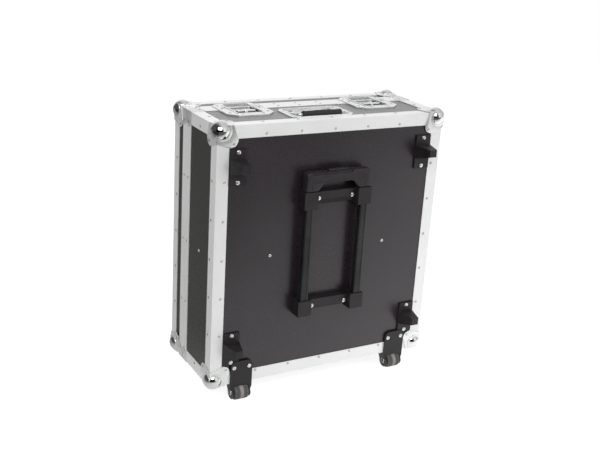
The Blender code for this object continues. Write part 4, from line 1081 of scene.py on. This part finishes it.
def trolley_grip():
    """The arched grip with a fine groove on its front, a well for the button and a lever strip."""
    low, high = case_box("trolley_grip")
    near, far, top, base = low.y, high.y, high.z, low.z
    half, arch = 79.0, base + 18.0
    inner = half - 28.0
    arched = [(-half + 1, base), (-inner, base), (-inner + 15, arch)]
    arched += [(inner - 15, arch), (inner, base), (half - 1, base)]
    crown = [(half, base + 1), (half, top), (-half, top), (-half, base + 1)]
    outline = flat_path(arched, 6.0, 5) + flat_path(crown, 9.0, 6)
    grip = bevel(prism(outline, "Y", near, far), 3.0, 4, 50)
    groove = flat_path([(-66, base + 4), (-66, top - 21), (66, top - 21), (66, base + 4)], 7, 5)
    line = along([(x, near - 0.1, z) for x, z in groove], 0.7, 8)
    middle = (near + far) / 2
    well = block((-25.3, middle - 5.3, top - 10.3), (25.3, middle + 5.3, top + 1))
    notch = [(-66, top - 5.0), (30, top - 5.0), (37, top + 1), (-66, top + 1)]
    grip = carve(grip, line, well, prism(notch, "Y", near - 1, near + 3.4))
    strip = [(-64.5, top - 5.4), (27, top - 5.4), (31, top - 1.4), (-64.5, top - 1.4)]
    return fuse(grip, bevel(prism(strip, "Y", near + 1.1, near + 3.6), 0.7, 2, 40))


shape = trolley_grip()
piece("trolley_grip_moulded", shape, GRIP, "trolley_handle", 35, ("trolley_grip",))


# Rear feet

for side_name, side in SIDES.items():
    node = f"rear_foot_{side_name}"
    low, high = case_box(node)
    middle = (low + high) / 2
    tall = high.z - low.z
    profile = [
        (0, 5.0), (3.2, 5.0), (3.6, 1.2), (8.0, 0.9), (9.0, 0.0), (12.6, 0.0), (13.8, 1.0), (14.2, 3.0),
        (14.6, 9.0), (14.0, 9.6), (14.0, 10.8), (14.8, 11.4),
        (16.2, tall - 5.0), (17.0, tall - 3.8), (17.0, tall), (0, tall),
    ]
    shape = lathe(profile, 40, Matrix.Translation((middle.x, middle.y, low.z)))
    piece(f"rear_foot_turned_{side_name}", shape, RUBBER, "case", 30, (node,))


# Floor, light and camera


def make_floor():
    """White to the camera; in reflections it gets darker to the left and towards the front."""
    bpy.ops.mesh.primitive_plane_add(size=40, location=(0, 0, 0))
    floor = bpy.context.object
    floor.name = "studio_floor"
    material = bpy.data.materials.new("studio_floor")
    material.use_nodes = True
    g = Graph(material.node_tree)
    g.tree.nodes.clear()
    to_camera, reflected = g.rays()
    seen = g.maths("MAXIMUM", to_camera, reflected)
    place = g.add("ShaderNodeTexCoord").outputs["Object"]
    leftwards = g.span(g.toward(place, (0.8, -0.6, 0)), -0.5, 0.0, 0.29, 1.0, "SMOOTHSTEP")
    frontwards = g.span(g.toward(place, (0.62, 0.78, 0)), -1.05, 0.05, 0.08, 1.0)
    bright = g.maths("MAXIMUM", g.times(leftwards, frontwards), to_camera)
    plain = g.add("ShaderNodeBsdfDiffuse", {"Color": (0.82, 0.82, 0.82, 1)})
    shade = g.add("ShaderNodeVectorMath", {0: (0.42, 0.42, 0.42), "Scale": bright}, operation="SCALE")
    lit = g.add("ShaderNodeBsdfDiffuse", {"Color": shade.outputs[0]})
    glow = g.add("ShaderNodeEmission", {"Strength": g.times(bright, 0.86)})
    total = g.add("ShaderNodeAddShader", {0: lit.outputs[0], 1: glow.outputs[0]})
    mix = g.add("ShaderNodeMixShader", {0: seen, 1: plain.outputs[0], 2: total.outputs[0]})
    g.add("ShaderNodeOutputMaterial", {"Surface": mix.outputs[0]})
    floor.data.materials.append(material)


def make_world():
    """White to the camera; its light is weaker from the sides, from overhead and from the camera's side."""
    world = bpy.data.worlds.new("studio")
    bpy.context.scene.world = world
    world.use_nodes = True
    g = Graph(world.node_tree)
    g.tree.nodes.clear()
    way = g.add("ShaderNodeTexCoord").outputs["Generated"]
    axes = g.split(way)
    level = g.span(axes["X"], -0.60, 0.2, 0.08, 1.0, "SMOOTHSTEP")
    for value, low, high, least in (
        (axes["X"], 0.35, 0.95, 0.6),
        (axes["Z"], 0.4, 0.9, 0.7),
        (g.toward(way, (-0.52, -0.85, 0.1)), 0.6, 0.84, 0.03),
    ):
        level = g.times(level, g.span(value, low, high, 1.0, least, "SMOOTHSTEP"))
    to_camera, reflected = g.rays()
    soft = g.times(g.times(level, 0.72), g.maths("SUBTRACT", 1.0, reflected))
    level = g.maths("ADD", g.times(level, reflected), soft)
    level = g.maths("MAXIMUM", level, to_camera)
    glow = g.add("ShaderNodeBackground", {"Color": (1, 1, 1, 1), "Strength": level})
    g.add("ShaderNodeOutputWorld", {"Surface": glow.outputs[0]})


def make_light(name, location, size, power, reflected=True):
    """A rectangular lamp aimed at the object's middle."""
    data = bpy.data.lights.new(name, "AREA")
    data.shape = "RECTANGLE"
    data.size, data.size_y = size
    data.energy = power
    light = new_object(name, data)
    light.location = location
    aim = Vector((0, 0, 0.3)) - Vector(location)
    light.rotation_euler = aim.to_track_quat("-Z", "Y").to_euler()
    light.visible_glossy = reflected


def make_camera():
    """The camera solved from the straight edges of the case in the photo."""
    data = bpy.data.cameras.new("camera")
    data.lens = 55.99
    data.sensor_width = 36.0
    data.dof.use_dof = False
    camera = new_object("camera", data)
    turn = (
        Matrix.Rotation(math.radians(-29.7534), 4, "Z")
        @ Matrix.Rotation(math.radians(70.7708), 4, "X")
        @ Matrix.Rotation(math.radians(3.6144), 4, "Z")
    )
    camera.matrix_world = Matrix.Translation((-1.0120, -1.7344, 1.0528)) @ turn
    bpy.context.scene.camera = camera


make_floor()
make_world()
make_light("key", (-1.25, -1.95, 2.1), (1.9, 1.3), 41)
make_light("left", (-2.7, 0.1, 1.3), (2.2, 2.2), 18, False)
make_light("fill", (1.9, -2.0, 1.5), (1.6, 1.6), 24, False)
make_light("top", (-0.3, 0.3, 2.6), (1.6, 1.6), 16, False)
make_camera()
scene = bpy.context.scene
scene.view_settings.view_transform = "Standard"

for shape in (RIVET_SHAPE, BIG_SCREW, SMALL_SCREW, CORNER_SHAPE):
    shape.free()
bpy.context.view_layer.update()
